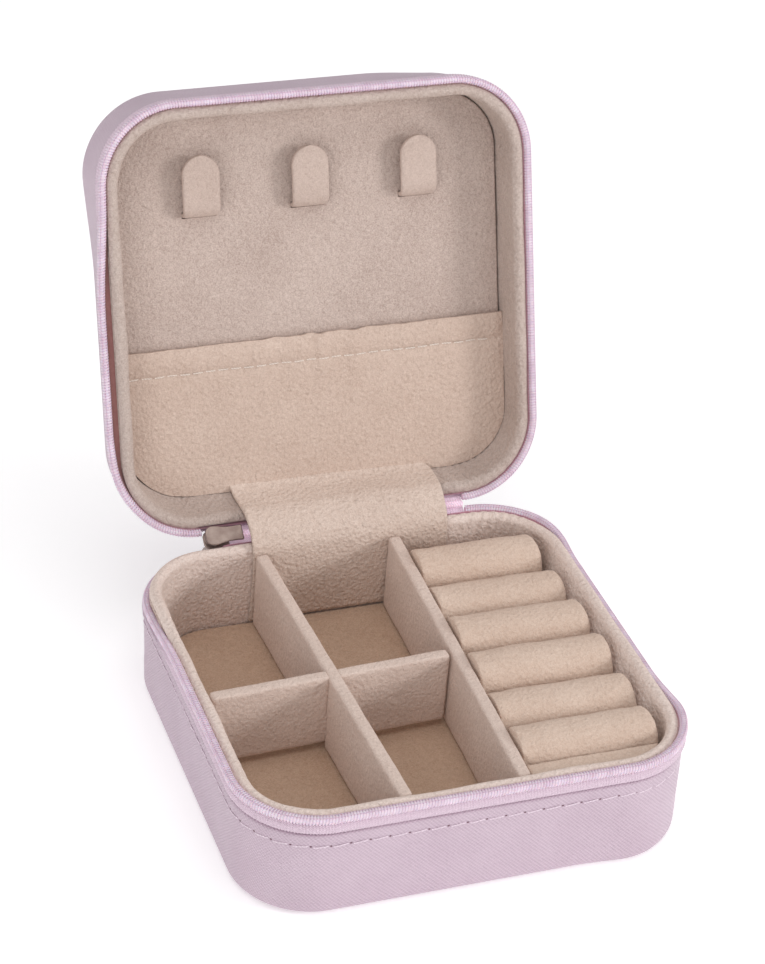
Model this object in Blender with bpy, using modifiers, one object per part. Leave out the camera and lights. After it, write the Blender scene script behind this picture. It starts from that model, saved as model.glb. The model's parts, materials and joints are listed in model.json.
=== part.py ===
"""Square zip-around travel jewellery box, standing open.

Frame: origin at the middle of the underside of the base, +X to the right, +Y to the back (the hinge
side), +Z up. Every lid piece is drawn where it sits on the closed box, and an empty on the hinge line opens
the lid.
"""

import math

import bmesh
import bpy
from mathutils import Matrix, Vector

# ---------------------------------------------------------------- driving dimensions (metres, radians)
WIDTH = 0.100
DEPTH = 0.098
CORNER_RADIUS = 0.018
SEAM_HEIGHT = 0.027
LID_HEIGHT = 0.020
OPEN_ANGLE = math.radians(108)
GAP = 0.0003

HALF_WIDTH = WIDTH / 2
HALF_DEPTH = DEPTH / 2
TOP_HEIGHT = SEAM_HEIGHT + LID_HEIGHT
HINGE_Y = HALF_DEPTH + 0.001

# Side walls, as distances inward from the outer outline. A drop is a distance from the seam plane.
COVER_THICKNESS = 0.0009
WALL_LEAN = 0.0006
BOARD_OUTSIDE = 0.0019
BOARD_INSIDE = 0.0029
BOARD_DROP = 0.0102
LINER_OUTSIDE = 0.0021
LINER_INSIDE = 0.0040
LINER_STEP_DROP = 0.0099
RIM_OUTSIDE = 0.0013
RIM_DROP = 0.0006
RIM_HEIGHT = 0.0042
RIM_FLARE = 0.0014
INNER_FIT = LINER_INSIDE + GAP
ZIP_BAND_HEIGHT = 0.0050
TAPE_THICKNESS = 0.0005
TAPE_HIDDEN = COVER_THICKNESS + 0.0004
TAPE_SHOWN = 0.0002
TAPE_LOW_DROP = 0.0096
TAPE_BEND_DROP = 0.0047
TAPE_HIGH_DROP = 0.0028
COIL_RADIUS = 0.00085
COIL_INSET = 0.00025
COIL_DROP = 0.0010

# Bottom of the base, from the underside up
BOTTOM_EDGE_RADIUS = 0.0025
BOTTOM_TURN_IN = 0.0045
BOTTOM_BOARD_INSET = 0.0026
BOTTOM_BOARD = (0.0012, 0.0032)
FLOOR_PAD = (0.0035, 0.0060)

# Compartments and ring tray
DIVIDER_THICKNESS = 0.0029
DIVIDER_TOP = 0.0253
DIVIDER_BOTTOM = FLOOR_PAD[1] + GAP
DIVIDER_FRONT = -(HALF_DEPTH - LINER_INSIDE - 0.0004)
DIVIDER_BACK = HALF_DEPTH - LINER_INSIDE - 0.0014
DIVIDER_EDGE = 0.0006
CROSS_DIVIDER_LIFT = 0.0005
LEFT_DIVIDER_X = -0.0180
RIGHT_DIVIDER_X = 0.0109
CROSS_DIVIDER_Y = -0.0015
LEFT_DIVIDER_TURN = math.radians(2.3)
RIGHT_DIVIDER_TURN = math.radians(-1.5)
CROSS_DIVIDER_TURN = math.radians(2.4)
LAP_HEIGHT = 0.0158
ROLL_COUNT = 6
ROLL_PITCH = 0.0132
ROLL_BOTTOM = 0.0126
ROLL_HIGH_TOP = 0.0269
ROLL_LOW_TOP = 0.0256
LOW_ROLLS = (2, 5)
ROLL_RIGHT = 0.0438
ROLL_LEFT_CLEARANCE = 0.0006
ROLL_COVER_THICKNESS = 0.0008
RING_END_PAD_TOPS = {"front": 0.0240, "back": 0.0170}

# Lid
LID_EDGE_RADIUS = 0.0050
LID_TURN_IN = 0.0078
LID_WALL_LEAN = 0.0008
LID_TOP_BOARD = (0.0439, 0.0458)
LID_TOP_BOARD_INSET = 0.0048
LID_SIDE_BOARD_LOW = 0.0118
LID_FOAM = (0.0405, 0.0436)
PANEL_INSET = 0.0051
PANEL = (0.0380, 0.0402)
HOOK_XS = {"left": -0.0255, "middle": 0.0, "right": 0.0258}
HOOK_WIDTH = 0.0086
HOOK_ROOT_Y = -0.0216
HOOK_TIP_Y = -0.0358
HOOK_THICKNESS = 0.0014
HOOK_STAND_OFF = 0.0021
POCKET_TOP_Y = 0.0080
POCKET_THICKNESS = 0.0006
POCKET_STAND_OFF = 0.0012
POCKET_EDGE_HEIGHT = 0.0395
ELASTIC_WIDTH = 0.0046
ELASTIC_THICKNESS = 0.0005
ELASTIC_STAND_OFF = 0.00035
ELASTIC_HEM = 0.0006
ELASTIC_END_GAP = 0.0010

# Flap, leather hinge, joined zip and slider
FLAP_SPAN = (-0.0215, 0.0260)
FLAP_THICKNESS = 0.0007
LEATHER_HINGE_SPAN = (-0.0205, 0.0255)
LEATHER_HINGE_REACH = 0.0100
LEATHER_HINGE_BEND = 0.0005
LEATHER_HINGE_THICKNESS = 0.0006
FLAP_BEND_REACH = 0.0020
LEFT_COIL_SPAN = (-0.0255, -0.0208)
RIGHT_COIL_SPAN = (0.0258, 0.0313)
SLIDER_X = -0.0269
SLIDER_LENGTH = 0.0086
SLIDER_WIDTH = 0.0048
OUTER_PLATE_WIDTH = 0.0036
PLATE_NEAR = 0.00125
PLATE_FAR = 0.00195
POST_RADIUS = 0.0008
POST_FROM_END = 0.0011
PIN_DROP = 0.0026
PIN_RADIUS = 0.0004
PIN_HALF_LENGTH = 0.0019
BRIDGE_HALF_LENGTH = 0.0025
BRIDGE_HALF_WIDTH = 0.0008
BRIDGE_LEG = 0.0009
BRIDGE_LOW = -PIN_DROP - 0.0012
BRIDGE_THICKNESS = 0.0006
PULL_NECK_WIDTH = 0.0026
PULL_WIDTH = 0.0070
PULL_THICKNESS = 0.0012
PULL_ARM = 0.0004
PULL_START = -PIN_DROP - 0.0033
PULL_SHOULDER = 0.0012
PULL_NECK_END = -0.0125
PULL_WIDE_FROM = -0.0170
PULL_END = -0.0292
SLIDER_RECESS_INSIDE = 0.0024
SLIDER_RECESS_X = (-0.0320, -0.0208)
SLIDER_RECESS_HALF_HEIGHT = 0.0030

CORNER_STEPS = 6


# ---------------------------------------------------------------- scene, collections and materials
for old_object in list(bpy.data.objects):
    bpy.data.objects.remove(old_object, do_unlink=True)

PARTS = bpy.data.collections.new("jewelry_box")
GUIDES = bpy.data.collections.new("cutters_and_guides")
bpy.context.scene.collection.children.link(PARTS)
bpy.context.scene.collection.children.link(GUIDES)

# colour, roughness, metallic
FINISHES = {
    "leatherette": ((0.66, 0.53, 0.61), 0.50, 0.0),
    "zip_tape": ((0.70, 0.56, 0.66), 0.85, 0.0),
    "zip_coil": ((0.74, 0.60, 0.70), 0.40, 0.0),
    "velvet": ((0.57, 0.45, 0.39), 0.95, 0.0),
    "roll_velvet": ((0.66, 0.51, 0.43), 0.95, 0.0),
    "board": ((0.40, 0.34, 0.27), 0.90, 0.0),
    "foam": ((0.75, 0.73, 0.66), 0.95, 0.0),
    "elastic": ((0.72, 0.68, 0.62), 0.70, 0.0),
    "slider_metal": ((0.27, 0.22, 0.19), 0.35, 1.0),
}


def material(name, finish):
    """One Principled material for the named part."""
    colour, roughness, metallic = FINISHES[finish]
    mat = bpy.data.materials.new(name)
    mat.use_nodes = True
    shader = mat.node_tree.nodes["Principled BSDF"]
    shader.inputs["Base Color"].default_value = (*colour, 1.0)
    shader.inputs["Roughness"].default_value = roughness
    shader.inputs["Metallic"].default_value = metallic
    return mat


def add_part(name, data, finish):
    """Make a part of the box from mesh or curve data."""
    part = bpy.data.objects.new(name, data)
    PARTS.objects.link(part)
    data.materials.append(material(name, finish))
    return part


def add_guide(name, data):
    """A cutter or a section, which isn't part of the box."""
    guide = bpy.data.objects.new(name, data)
    GUIDES.objects.link(guide)
    guide.hide_render = True
    guide.display_type = "WIRE"
    return guide


def axis_empty(name, turn):
    """An empty on the hinge line, turned about it to its rest angle."""
    empty = bpy.data.objects.new(name, None)
    PARTS.objects.link(empty)
    empty.empty_display_size = 0.01
    empty.location = (0.0, HINGE_Y, SEAM_HEIGHT)
    empty.rotation_euler.x = turn
    return empty


# ---------------------------------------------------------------- outlines, sections and curves
def arc(centre_x, centre_y, radius, start, end, steps):
    """Points on an arc between two angles in degrees."""
    points = []
    for i in range(steps + 1):
        angle = math.radians(start + (end - start) * i / steps)
        points.append((centre_x + radius * math.cos(angle), centre_y + radius * math.sin(angle)))
    return points


def outline(inset=0.0, back_gap=None):
    """The box's rounded outline, anticlockwise from the back-left corner. back_gap, two x values, leaves
    the back open between them."""
    half_x = HALF_WIDTH - inset
    half_y = HALF_DEPTH - inset
    radius = CORNER_RADIUS - inset
    points = []
    for side_x, side_y, start in ((-1, 1, 90), (-1, -1, 180), (1, -1, 270), (1, 1, 0)):
        centre_x = side_x * (half_x - radius)
        centre_y = side_y * (half_y - radius)
        points += arc(centre_x, centre_y, radius, start, start + 90, CORNER_STEPS)
    if back_gap:
        points.insert(0, (back_gap[0], half_y))
        points.append((back_gap[1], half_y))
    return points


def spline_curve(name, points, cyclic):
    """A flat curve of straight runs through points in its own XY plane."""
    curve = bpy.data.curves.new(name, "CURVE")
    curve.dimensions = "2D"
    spline = curve.splines.new("POLY")
    spline.points.add(len(points) - 1)
    for target, point in zip(spline.points, points):
        target.co = (point[0], point[1], 0.0, 1.0)
    spline.use_cyclic_u = cyclic
    return curve


def ring(name, section, finish, back_gap=None):
    """Sweep a section of (distance inward, height) points, outer side first, around the outline."""
    profile = add_guide(name + "_section", spline_curve(name + "_section", section, True))
    path = outline(0.0, back_gap)
    if back_gap:
        path.reverse()
    curve = spline_curve(name, path, back_gap is None)
    curve.bevel_mode = "OBJECT"
    curve.bevel_object = profile
    curve.use_fill_caps = True
    return add_part(name, curve, finish)


def plate(name, inset, levels, finish):
    """A flat plate with the box's rounded outline between two heights."""
    curve = spline_curve(name, outline(inset), True)
    curve.fill_mode = "BOTH"
    curve.extrude = (levels[1] - levels[0]) / 2
    part = add_part(name, curve, finish)
    part.location.z = (levels[0] + levels[1]) / 2
    return part


def strip(name, path, thickness, span, finish):
    """A sheet that follows a path of (y, z) points, between two x values."""
    curve = spline_curve(name, path, False)
    curve.extrude = (span[1] - span[0]) / 2
    part = add_part(name, curve, finish)
    part.rotation_euler = (math.pi / 2, 0.0, math.pi / 2)
    part.location.x = (span[0] + span[1]) / 2
    solidify = part.modifiers.new("Thickness", "SOLIDIFY")
    solidify.thickness = thickness
    solidify.offset = 0.0
    return part


def flipped(section):
    """The lid's copy of a base section, mirrored in the seam plane."""
    return [(inward, 2 * SEAM_HEIGHT - height) for inward, height in reversed(section)]


# ---------------------------------------------------------------- solids, cuts and joins
def finished_mesh(name, bm):
    """Turn a bmesh into mesh data."""
    mesh = bpy.data.meshes.new(name)
    bm.to_mesh(mesh)
    bm.free()
    return mesh


def box_mesh(name, low, high):
    """A box between two corners."""
    bm = bmesh.new()
    bmesh.ops.create_cube(bm, size=1.0)
    bmesh.ops.scale(bm, vec=Vector(high) - Vector(low), verts=bm.verts)
    bmesh.ops.translate(bm, vec=(Vector(high) + Vector(low)) / 2, verts=bm.verts)
    return finished_mesh(name, bm)


def tab_mesh(name, outline, middle_x, thickness):
    """A flat tab with an outline of (y, z) points, thick along x."""
    bm = bmesh.new()
    face = bm.faces.new([bm.verts.new((middle_x - thickness / 2, y, z)) for y, z in outline])
    pushed = bmesh.ops.extrude_face_region(bm, geom=[face])["geom"]
    far_side = [item for item in pushed if isinstance(item, bmesh.types.BMVert)]
    bmesh.ops.translate(bm, vec=(thickness, 0, 0), verts=far_side)
    bmesh.ops.recalc_face_normals(bm, faces=bm.faces)
    return finished_mesh(name, bm)


def rod_mesh(name, start, end, radius, squash=1.0, sides=12, closed=True):
    """A bar between two points. squash flattens its section, and closed=False leaves it an open tube."""
    start = Vector(start)
    end = Vector(end)
    bm = bmesh.new()
    bmesh.ops.create_cone(bm, cap_ends=closed, segments=sides, radius1=radius, radius2=radius,
                          depth=(end - start).length)
    bmesh.ops.scale(bm, vec=(squash, 1.0, 1.0), verts=bm.verts)
    turn = Vector((0, 0, 1)).rotation_difference(end - start).to_matrix()
    bmesh.ops.rotate(bm, matrix=turn, verts=bm.verts)
    bmesh.ops.translate(bm, vec=(start + end) / 2, verts=bm.verts)
    mesh = finished_mesh(name, bm)
    mesh.shade_smooth()
    mesh.set_sharp_from_angle(angle=math.radians(40))
    return mesh


def as_mesh(curve_part):
    """Swap a curve part for the same shape as a mesh, so that it can be cut."""
    bpy.context.view_layer.update()
    evaluated = curve_part.evaluated_get(bpy.context.evaluated_depsgraph_get())
    mesh = bpy.data.meshes.new_from_object(evaluated)
    bm = bmesh.new()
    bm.from_mesh(mesh)
    bmesh.ops.remove_doubles(bm, verts=bm.verts, dist=0.000001)
    bm.to_mesh(mesh)
    bm.free()
    name = curve_part.name
    world = curve_part.matrix_world.copy()
    bpy.data.objects.remove(curve_part)
    part = bpy.data.objects.new(name, mesh)
    PARTS.objects.link(part)
    part.matrix_world = world
    return part


def combine(part, operation, mesh):
    """Cut, join or trim a part with a mesh drawn in the same coordinates as the part's location."""
    tool = add_guide(f"{part.name}_{operation.lower()}_{len(part.modifiers) + 1}", mesh)
    tool.parent = part
    tool.matrix_parent_inverse = part.matrix_basis.inverted()
    modifier = part.modifiers.new(operation.title(), "BOOLEAN")
    modifier.operation = operation
    modifier.solver = "EXACT"
    modifier.object = tool


def rounded_edges(part, width):
    """Ease a part's edges."""
    bevel = part.modifiers.new("Edges", "BEVEL")
    bevel.width = width
    bevel.segments = 2
    bevel.limit_method = "ANGLE"


# ---------------------------------------------------------------- shared wall sections
def cover_section(low, high, radius, turn_in, lean):
    """A cover wall that stands on its turned-in edge: low is that edge's height and high the free edge's."""
    corner = (lean + radius, low + radius)
    inner_radius = radius - COVER_THICKNESS
    points = [(turn_in, low)]
    points += arc(*corner, radius, 270, 180, 4)
    points += [(0.0, high), (COVER_THICKNESS, high)]
    points += arc(*corner, inner_radius, 180, 270, 4)
    points += [(turn_in, low + COVER_THICKNESS)]
    return points


def block_section(outside, inside, low, high):
    """A plain upright wall."""
    return [(outside, low), (outside, high), (inside, high), (inside, low)]


def liner_section(low):
    """The velvet wall of the base, thin beside the board, thicker above it, with a fat rounded rim."""
    step = SEAM_HEIGHT - LINER_STEP_DROP
    rim = SEAM_HEIGHT - RIM_DROP
    rim_bottom = rim - RIM_HEIGHT
    rim_radius = (LINER_INSIDE - RIM_OUTSIDE) / 2
    points = [(BOARD_INSIDE + GAP, low), (BOARD_INSIDE + GAP, step), (LINER_OUTSIDE, step + GAP),
              (LINER_OUTSIDE, rim_bottom), (RIM_OUTSIDE, rim_bottom + RIM_FLARE)]
    points += arc(RIM_OUTSIDE + rim_radius, rim - rim_radius, rim_radius, 180, 0, 6)
    points.append((LINER_INSIDE, low))
    return points


def tape_section():
    """The zip tape of the base: it comes out between cover and liner and flares over the cover's edge."""
    low = SEAM_HEIGHT - TAPE_LOW_DROP
    bend = SEAM_HEIGHT - TAPE_BEND_DROP
    high = SEAM_HEIGHT - TAPE_HIGH_DROP
    flare = TAPE_HIDDEN - TAPE_SHOWN
    return [
        (TAPE_HIDDEN, low),
        (TAPE_HIDDEN, bend),
        (TAPE_SHOWN, bend + flare),
        (TAPE_SHOWN, high),
        (TAPE_SHOWN + TAPE_THICKNESS, high),
        (TAPE_SHOWN + TAPE_THICKNESS, bend + flare + GAP),
        (TAPE_HIDDEN + TAPE_THICKNESS, bend + GAP),
        (TAPE_HIDDEN + TAPE_THICKNESS, low),
    ]


def coil_section():
    """The base's half of the zip coil, a round bead just under the seam plane."""
    return arc(COIL_INSET, SEAM_HEIGHT - COIL_DROP, COIL_RADIUS, 270, -45, 7)


# ---------------------------------------------------------------- base: covers, boards, zip and lining
def build_base_walls():
    """Everything of the base that runs around it, and its bottom layers."""
    zip_low = SEAM_HEIGHT - ZIP_BAND_HEIGHT
    corner_x = HALF_WIDTH - CORNER_RADIUS
    ring("base_side_cover", cover_section(0.0, zip_low, BOTTOM_EDGE_RADIUS, BOTTOM_TURN_IN, WALL_LEAN),
         "leatherette")
    plate("base_bottom_cover", BOTTOM_TURN_IN + GAP, (0.0, COVER_THICKNESS), "leatherette")
    plate("base_bottom_board", BOTTOM_BOARD_INSET, BOTTOM_BOARD, "board")
    board_low = BOTTOM_BOARD[1] + GAP
    board_high = SEAM_HEIGHT - BOARD_DROP
    ring("base_side_board", block_section(BOARD_OUTSIDE, BOARD_INSIDE, board_low, board_high), "board")
    ring("base_zip_tape", tape_section(), "zip_tape", LEATHER_HINGE_SPAN)
    ring("base_zip_coil", coil_section(), "zip_coil", (-corner_x + GAP, corner_x - GAP))
    slider_recess(ring("base_liner", liner_section(board_low), "velvet"))
    plate("base_floor_pad", INNER_FIT, FLOOR_PAD, "velvet")


# ---------------------------------------------------------------- base: dividers
def divider(name, location, turn, low, high):
    """A velvet-covered board drawn along its own axes, then turned and placed."""
    part = add_part(name, box_mesh(name, low, high), "velvet")
    rounded_edges(part, DIVIDER_EDGE)
    part.location = location
    part.rotation_euler.z = turn
    return part


def lap_cut(part, low, high):
    """Cut half of a half-lap joint into a divider, in the divider's own axes."""
    tool_mesh = box_mesh(part.name + "_lap", low, high)
    tool_mesh.transform(part.matrix_basis)
    combine(part, "DIFFERENCE", tool_mesh)


def build_dividers():
    """Two long dividers and the cross divider, which passes under the left one's top half."""
    half = DIVIDER_THICKNESS / 2
    clear = half + GAP
    left = divider("long_divider_left", (LEFT_DIVIDER_X, 0.0, 0.0), LEFT_DIVIDER_TURN,
                   (-half, DIVIDER_FRONT, DIVIDER_BOTTOM), (half, DIVIDER_BACK, DIVIDER_TOP))
    divider("long_divider_right", (RIGHT_DIVIDER_X, 0.0, 0.0), RIGHT_DIVIDER_TURN,
            (-half, DIVIDER_FRONT, DIVIDER_BOTTOM), (half, DIVIDER_BACK, DIVIDER_TOP))
    cross_left = -(HALF_WIDTH - INNER_FIT)
    cross_right = RIGHT_DIVIDER_X - clear - CROSS_DIVIDER_LIFT / 2
    cross_bottom = DIVIDER_BOTTOM + CROSS_DIVIDER_LIFT
    cross = divider("cross_divider", (0.0, CROSS_DIVIDER_Y, 0.0), CROSS_DIVIDER_TURN,
                    (cross_left, -half, cross_bottom), (cross_right, half, DIVIDER_TOP))
    bpy.context.view_layer.update()
    crossing_y = CROSS_DIVIDER_Y + LEFT_DIVIDER_X * math.tan(CROSS_DIVIDER_TURN)
    lap_cut(left, (-2 * half, crossing_y - clear, 0.0), (2 * half, crossing_y + clear, LAP_HEIGHT))
    lap_cut(cross, (LEFT_DIVIDER_X - clear, -2 * half, LAP_HEIGHT - GAP),
            (LEFT_DIVIDER_X + clear, 2 * half, SEAM_HEIGHT))


# ---------------------------------------------------------------- base: ring tray
def right_divider_face(y):
    """x of the right divider's right face at a given y."""
    return RIGHT_DIVIDER_X - y * math.tan(RIGHT_DIVIDER_TURN) + DIVIDER_THICKNESS / 2


def wall_reach(y):
    """x of the liner's inner face on the right, at a given distance from the middle."""
    radius = CORNER_RADIUS - LINER_INSIDE
    past_corner = abs(y) - (HALF_DEPTH - CORNER_RADIUS)
    if past_corner <= 0:
        return HALF_WIDTH - LINER_INSIDE
    return HALF_WIDTH - CORNER_RADIUS + math.sqrt(radius ** 2 - past_corner ** 2)


def build_ring_rolls():
    """Six rolls across the tray, each a velvet tube around a foam core, the second and fifth lower."""
    half_pitch = (ROLL_PITCH - GAP) / 2
    skin = ROLL_COVER_THICKNESS + GAP
    for number in range(1, ROLL_COUNT + 1):
        y = ROLL_PITCH * ((ROLL_COUNT + 1) / 2 - number)
        top = ROLL_LOW_TOP if number in LOW_ROLLS else ROLL_HIGH_TOP
        half_height = (top - ROLL_BOTTOM) / 2
        z = ROLL_BOTTOM + half_height
        left = right_divider_face(y) + ROLL_LEFT_CLEARANCE
        right = min(ROLL_RIGHT, wall_reach(abs(y) + half_pitch) - GAP)
        name = f"ring_roll_{number}"
        tube = rod_mesh(name, (left, y, z), (right, y, z), half_pitch, half_height / half_pitch, 20, False)
        cover = add_part(name, tube, "roll_velvet")
        solidify = cover.modifiers.new("Thickness", "SOLIDIFY")
        solidify.thickness = ROLL_COVER_THICKNESS
        solidify.offset = -1.0
        core_name = f"ring_roll_core_{number}"
        squash = (half_height - skin) / (half_pitch - skin)
        core = rod_mesh(core_name, (left + GAP, y, z), (right - GAP, y, z), half_pitch - skin, squash, 16)
        add_part(core_name, core, "foam")


def tray_block(name, levels, front, back, finish):
    """A block that fills the ring tray between the right divider and the wall."""
    part = as_mesh(plate(name, INNER_FIT, levels, finish))
    below = levels[0] - 0.001
    above = levels[1] + 0.001
    combine(part, "INTERSECT", box_mesh(name + "_trim", (0.0, front, below), (HALF_WIDTH, back, above)))
    divider_side = box_mesh(name + "_divider_side", (-WIDTH, -DEPTH, below),
                            (DIVIDER_THICKNESS / 2 + GAP, DEPTH, above))
    divider_side.transform(Matrix.Translation((RIGHT_DIVIDER_X, 0.0, 0.0))
                           @ Matrix.Rotation(RIGHT_DIVIDER_TURN, 4, "Z"))
    combine(part, "DIFFERENCE", divider_side)


def build_ring_tray():
    """The foam bed under the rolls and the padded strips at both ends of them."""
    build_ring_rolls()
    tray_front = -(HALF_DEPTH - INNER_FIT)
    rolls_end = ROLL_PITCH * ROLL_COUNT / 2 + GAP
    bed_top = ROLL_BOTTOM - GAP
    tray_block("ring_bed", (DIVIDER_BOTTOM, bed_top), tray_front, DIVIDER_BACK, "foam")
    tray_block("ring_end_pad_front", (ROLL_BOTTOM, RING_END_PAD_TOPS["front"]), tray_front, -rolls_end,
               "roll_velvet")
    tray_block("ring_end_pad_back", (ROLL_BOTTOM, RING_END_PAD_TOPS["back"]), rolls_end, DIVIDER_BACK,
               "roll_velvet")


# ---------------------------------------------------------------- lid, drawn closed
def plate_tool(name, inset, levels):
    """Mesh data of a rounded plate, for cutting with."""
    part = as_mesh(plate(name, inset, levels, "board"))
    mesh = part.data
    mesh.transform(part.matrix_world)
    bpy.data.objects.remove(part)
    return mesh


def build_lid_walls():
    """Covers, boards, zip half and lining of the lid."""
    mirror = 2 * SEAM_HEIGHT
    corner_x = HALF_WIDTH - CORNER_RADIUS
    cover = cover_section(mirror - TOP_HEIGHT, SEAM_HEIGHT - ZIP_BAND_HEIGHT, LID_EDGE_RADIUS, LID_TURN_IN,
                          LID_WALL_LEAN)
    board = block_section(BOARD_OUTSIDE, BOARD_INSIDE, LID_SIDE_BOARD_LOW, SEAM_HEIGHT - BOARD_DROP)
    return [
        ring("lid_side_cover", flipped(cover), "leatherette"),
        plate("lid_top_cover", LID_TURN_IN + GAP, (TOP_HEIGHT - COVER_THICKNESS, TOP_HEIGHT), "leatherette"),
        ring("lid_side_board", flipped(board), "board"),
        plate("lid_top_board", LID_TOP_BOARD_INSET, LID_TOP_BOARD, "board"),
        plate("lid_foam_pad", INNER_FIT, LID_FOAM, "foam"),
        ring("lid_zip_tape", flipped(tape_section()), "zip_tape", LEATHER_HINGE_SPAN),
        ring("lid_zip_coil", flipped(coil_section()), "zip_coil", (-corner_x + GAP, corner_x - GAP)),
        slider_recess(ring("lid_liner", flipped(liner_section(mirror - LID_FOAM[1])), "velvet")),
    ]


def build_necklace_hook(side, panel):
    """A round-ended tab that stands off the panel, with its foot through a slit in the panel."""
    name = "necklace_hook_" + side
    middle = HOOK_XS[side]
    half = HOOK_WIDTH / 2
    points = [(middle - half, HOOK_ROOT_Y)]
    points += arc(middle, HOOK_TIP_Y + half, half, 180, 360, 8)
    points += [(middle + half, HOOK_ROOT_Y)]
    curve = spline_curve(name, points, True)
    curve.fill_mode = "BOTH"
    curve.extrude = HOOK_THICKNESS / 2
    tab = add_part(name, curve, "velvet")
    tab_top = PANEL[0] - HOOK_STAND_OFF
    tab.location.z = tab_top - HOOK_THICKNESS / 2
    hook = as_mesh(tab)
    foot_front = HOOK_ROOT_Y - HOOK_THICKNESS
    foot_low = tab_top - HOOK_THICKNESS / 2
    combine(hook, "UNION", box_mesh(name + "_foot", (middle - half, foot_front, foot_low),
                                    (middle + half, HOOK_ROOT_Y, PANEL[1] - GAP)))
    combine(panel, "DIFFERENCE", box_mesh(name + "_slit",
                                          (middle - half - GAP, foot_front - GAP, PANEL[0] - 0.001),
                                          (middle + half + GAP, HOOK_ROOT_Y + GAP, PANEL[1] + 0.001)))
    return hook


def build_necklace_pocket():
    """The pocket over the lower half of the panel, turned around the panel's edges, and its elastic."""
    face = PANEL[0] - POCKET_STAND_OFF
    levels = (face - POCKET_THICKNESS, POCKET_EDGE_HEIGHT)
    pocket = as_mesh(plate("necklace_pocket", INNER_FIT, levels, "velvet"))
    inside = plate_tool("necklace_pocket_inside", PANEL_INSET - GAP, (face, TOP_HEIGHT))
    combine(pocket, "DIFFERENCE", inside)
    combine(pocket, "DIFFERENCE", box_mesh("necklace_pocket_mouth", (-WIDTH, -DEPTH, SEAM_HEIGHT),
                                           (WIDTH, POCKET_TOP_Y, TOP_HEIGHT)))
    elastic_low = face + ELASTIC_STAND_OFF
    elastic_front = POCKET_TOP_Y + ELASTIC_HEM
    elastic_reach = HALF_WIDTH - PANEL_INSET - ELASTIC_END_GAP
    band = box_mesh("pocket_elastic", (-elastic_reach, elastic_front, elastic_low),
                    (elastic_reach, elastic_front + ELASTIC_WIDTH, elastic_low + ELASTIC_THICKNESS))
    elastic = add_part("pocket_elastic", band, "elastic")
    return [pocket, elastic]


def build_lid():
    """The whole lid, drawn closed and then opened on the hinge line."""
    parts = build_lid_walls()
    panel = as_mesh(plate("lid_panel", PANEL_INSET, PANEL, "velvet"))
    parts += [build_necklace_hook(side, panel) for side in HOOK_XS]
    parts.append(panel)
    parts += build_necklace_pocket()
    lid_hinge = axis_empty("lid_hinge_axis", -OPEN_ANGLE)
    for part in parts:
        part.parent = lid_hinge
        part.matrix_parent_inverse = Matrix.Translation(-lid_hinge.location)


# ---------------------------------------------------------------- flap, leather hinge, joined zip
def opened(y, z):
    """Where a point of the closed lid, as (y, z), goes on the open one."""
    from_hinge_y = y - HINGE_Y
    from_hinge_z = z - SEAM_HEIGHT
    cos_open = math.cos(OPEN_ANGLE)
    sin_open = math.sin(OPEN_ANGLE)
    return (HINGE_Y + from_hinge_y * cos_open + from_hinge_z * sin_open,
            SEAM_HEIGHT - from_hinge_y * sin_open + from_hinge_z * cos_open)


def smooth_bridge(start, start_pull, end_pull, end, steps):
    """Points of a cubic curve between two (y, z) points."""
    points = []
    for i in range(steps + 1):
        t = i / steps
        weights = ((1 - t) ** 3, 3 * t * (1 - t) ** 2, 3 * t ** 2 * (1 - t), t ** 3)
        corners = (start, start_pull, end_pull, end)
        points.append(tuple(sum(w * c[axis] for w, c in zip(weights, corners)) for axis in (0, 1)))
    return points


def build_hinge_strips():
    """The velvet flap inside and the leather strip outside, both bent as on the open box."""
    flap_y = HALF_DEPTH - LINER_INSIDE - GAP - FLAP_THICKNESS / 2
    above = SEAM_HEIGHT + FLAP_BEND_REACH
    below = SEAM_HEIGHT - FLAP_BEND_REACH
    bridge = smooth_bridge(opened(flap_y, above), opened(flap_y, below), (flap_y, above), (flap_y, below), 8)
    flap_end = PANEL[0] - POCKET_STAND_OFF - POCKET_THICKNESS - GAP
    path = [opened(flap_y, flap_end)] + bridge + [(flap_y, DIVIDER_BOTTOM)]
    strip("hinge_flap", path, FLAP_THICKNESS, FLAP_SPAN, "velvet")

    leather_y = HINGE_Y - LEATHER_HINGE_BEND
    bend = arc(HINGE_Y, SEAM_HEIGHT, LEATHER_HINGE_BEND, 180, 180 - math.degrees(OPEN_ANGLE), 5)
    path = [(leather_y, SEAM_HEIGHT - LEATHER_HINGE_REACH)] + bend
    path.append(opened(leather_y, SEAM_HEIGHT + LEATHER_HINGE_REACH))
    strip("leather_hinge", path, LEATHER_HINGE_THICKNESS, LEATHER_HINGE_SPAN, "leatherette")


def build_joined_zip():
    """What turns halfway with the lid on the hinge line: the joined coil, the slider on it and its pull."""
    axis = axis_empty("joined_zip_axis", (math.pi - OPEN_ANGLE) / 2)
    coils = []
    for side, span in (("left", LEFT_COIL_SPAN), ("right", RIGHT_COIL_SPAN)):
        name = "joined_coil_" + side
        rod = rod_mesh(name, (span[0], 0.0, 0.0), (span[1], 0.0, 0.0), COIL_RADIUS, 1.0, 10)
        coils.append(add_part(name, rod, "zip_coil"))
    for part in coils + [build_slider(), build_pull()]:
        part.parent = axis


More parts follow.
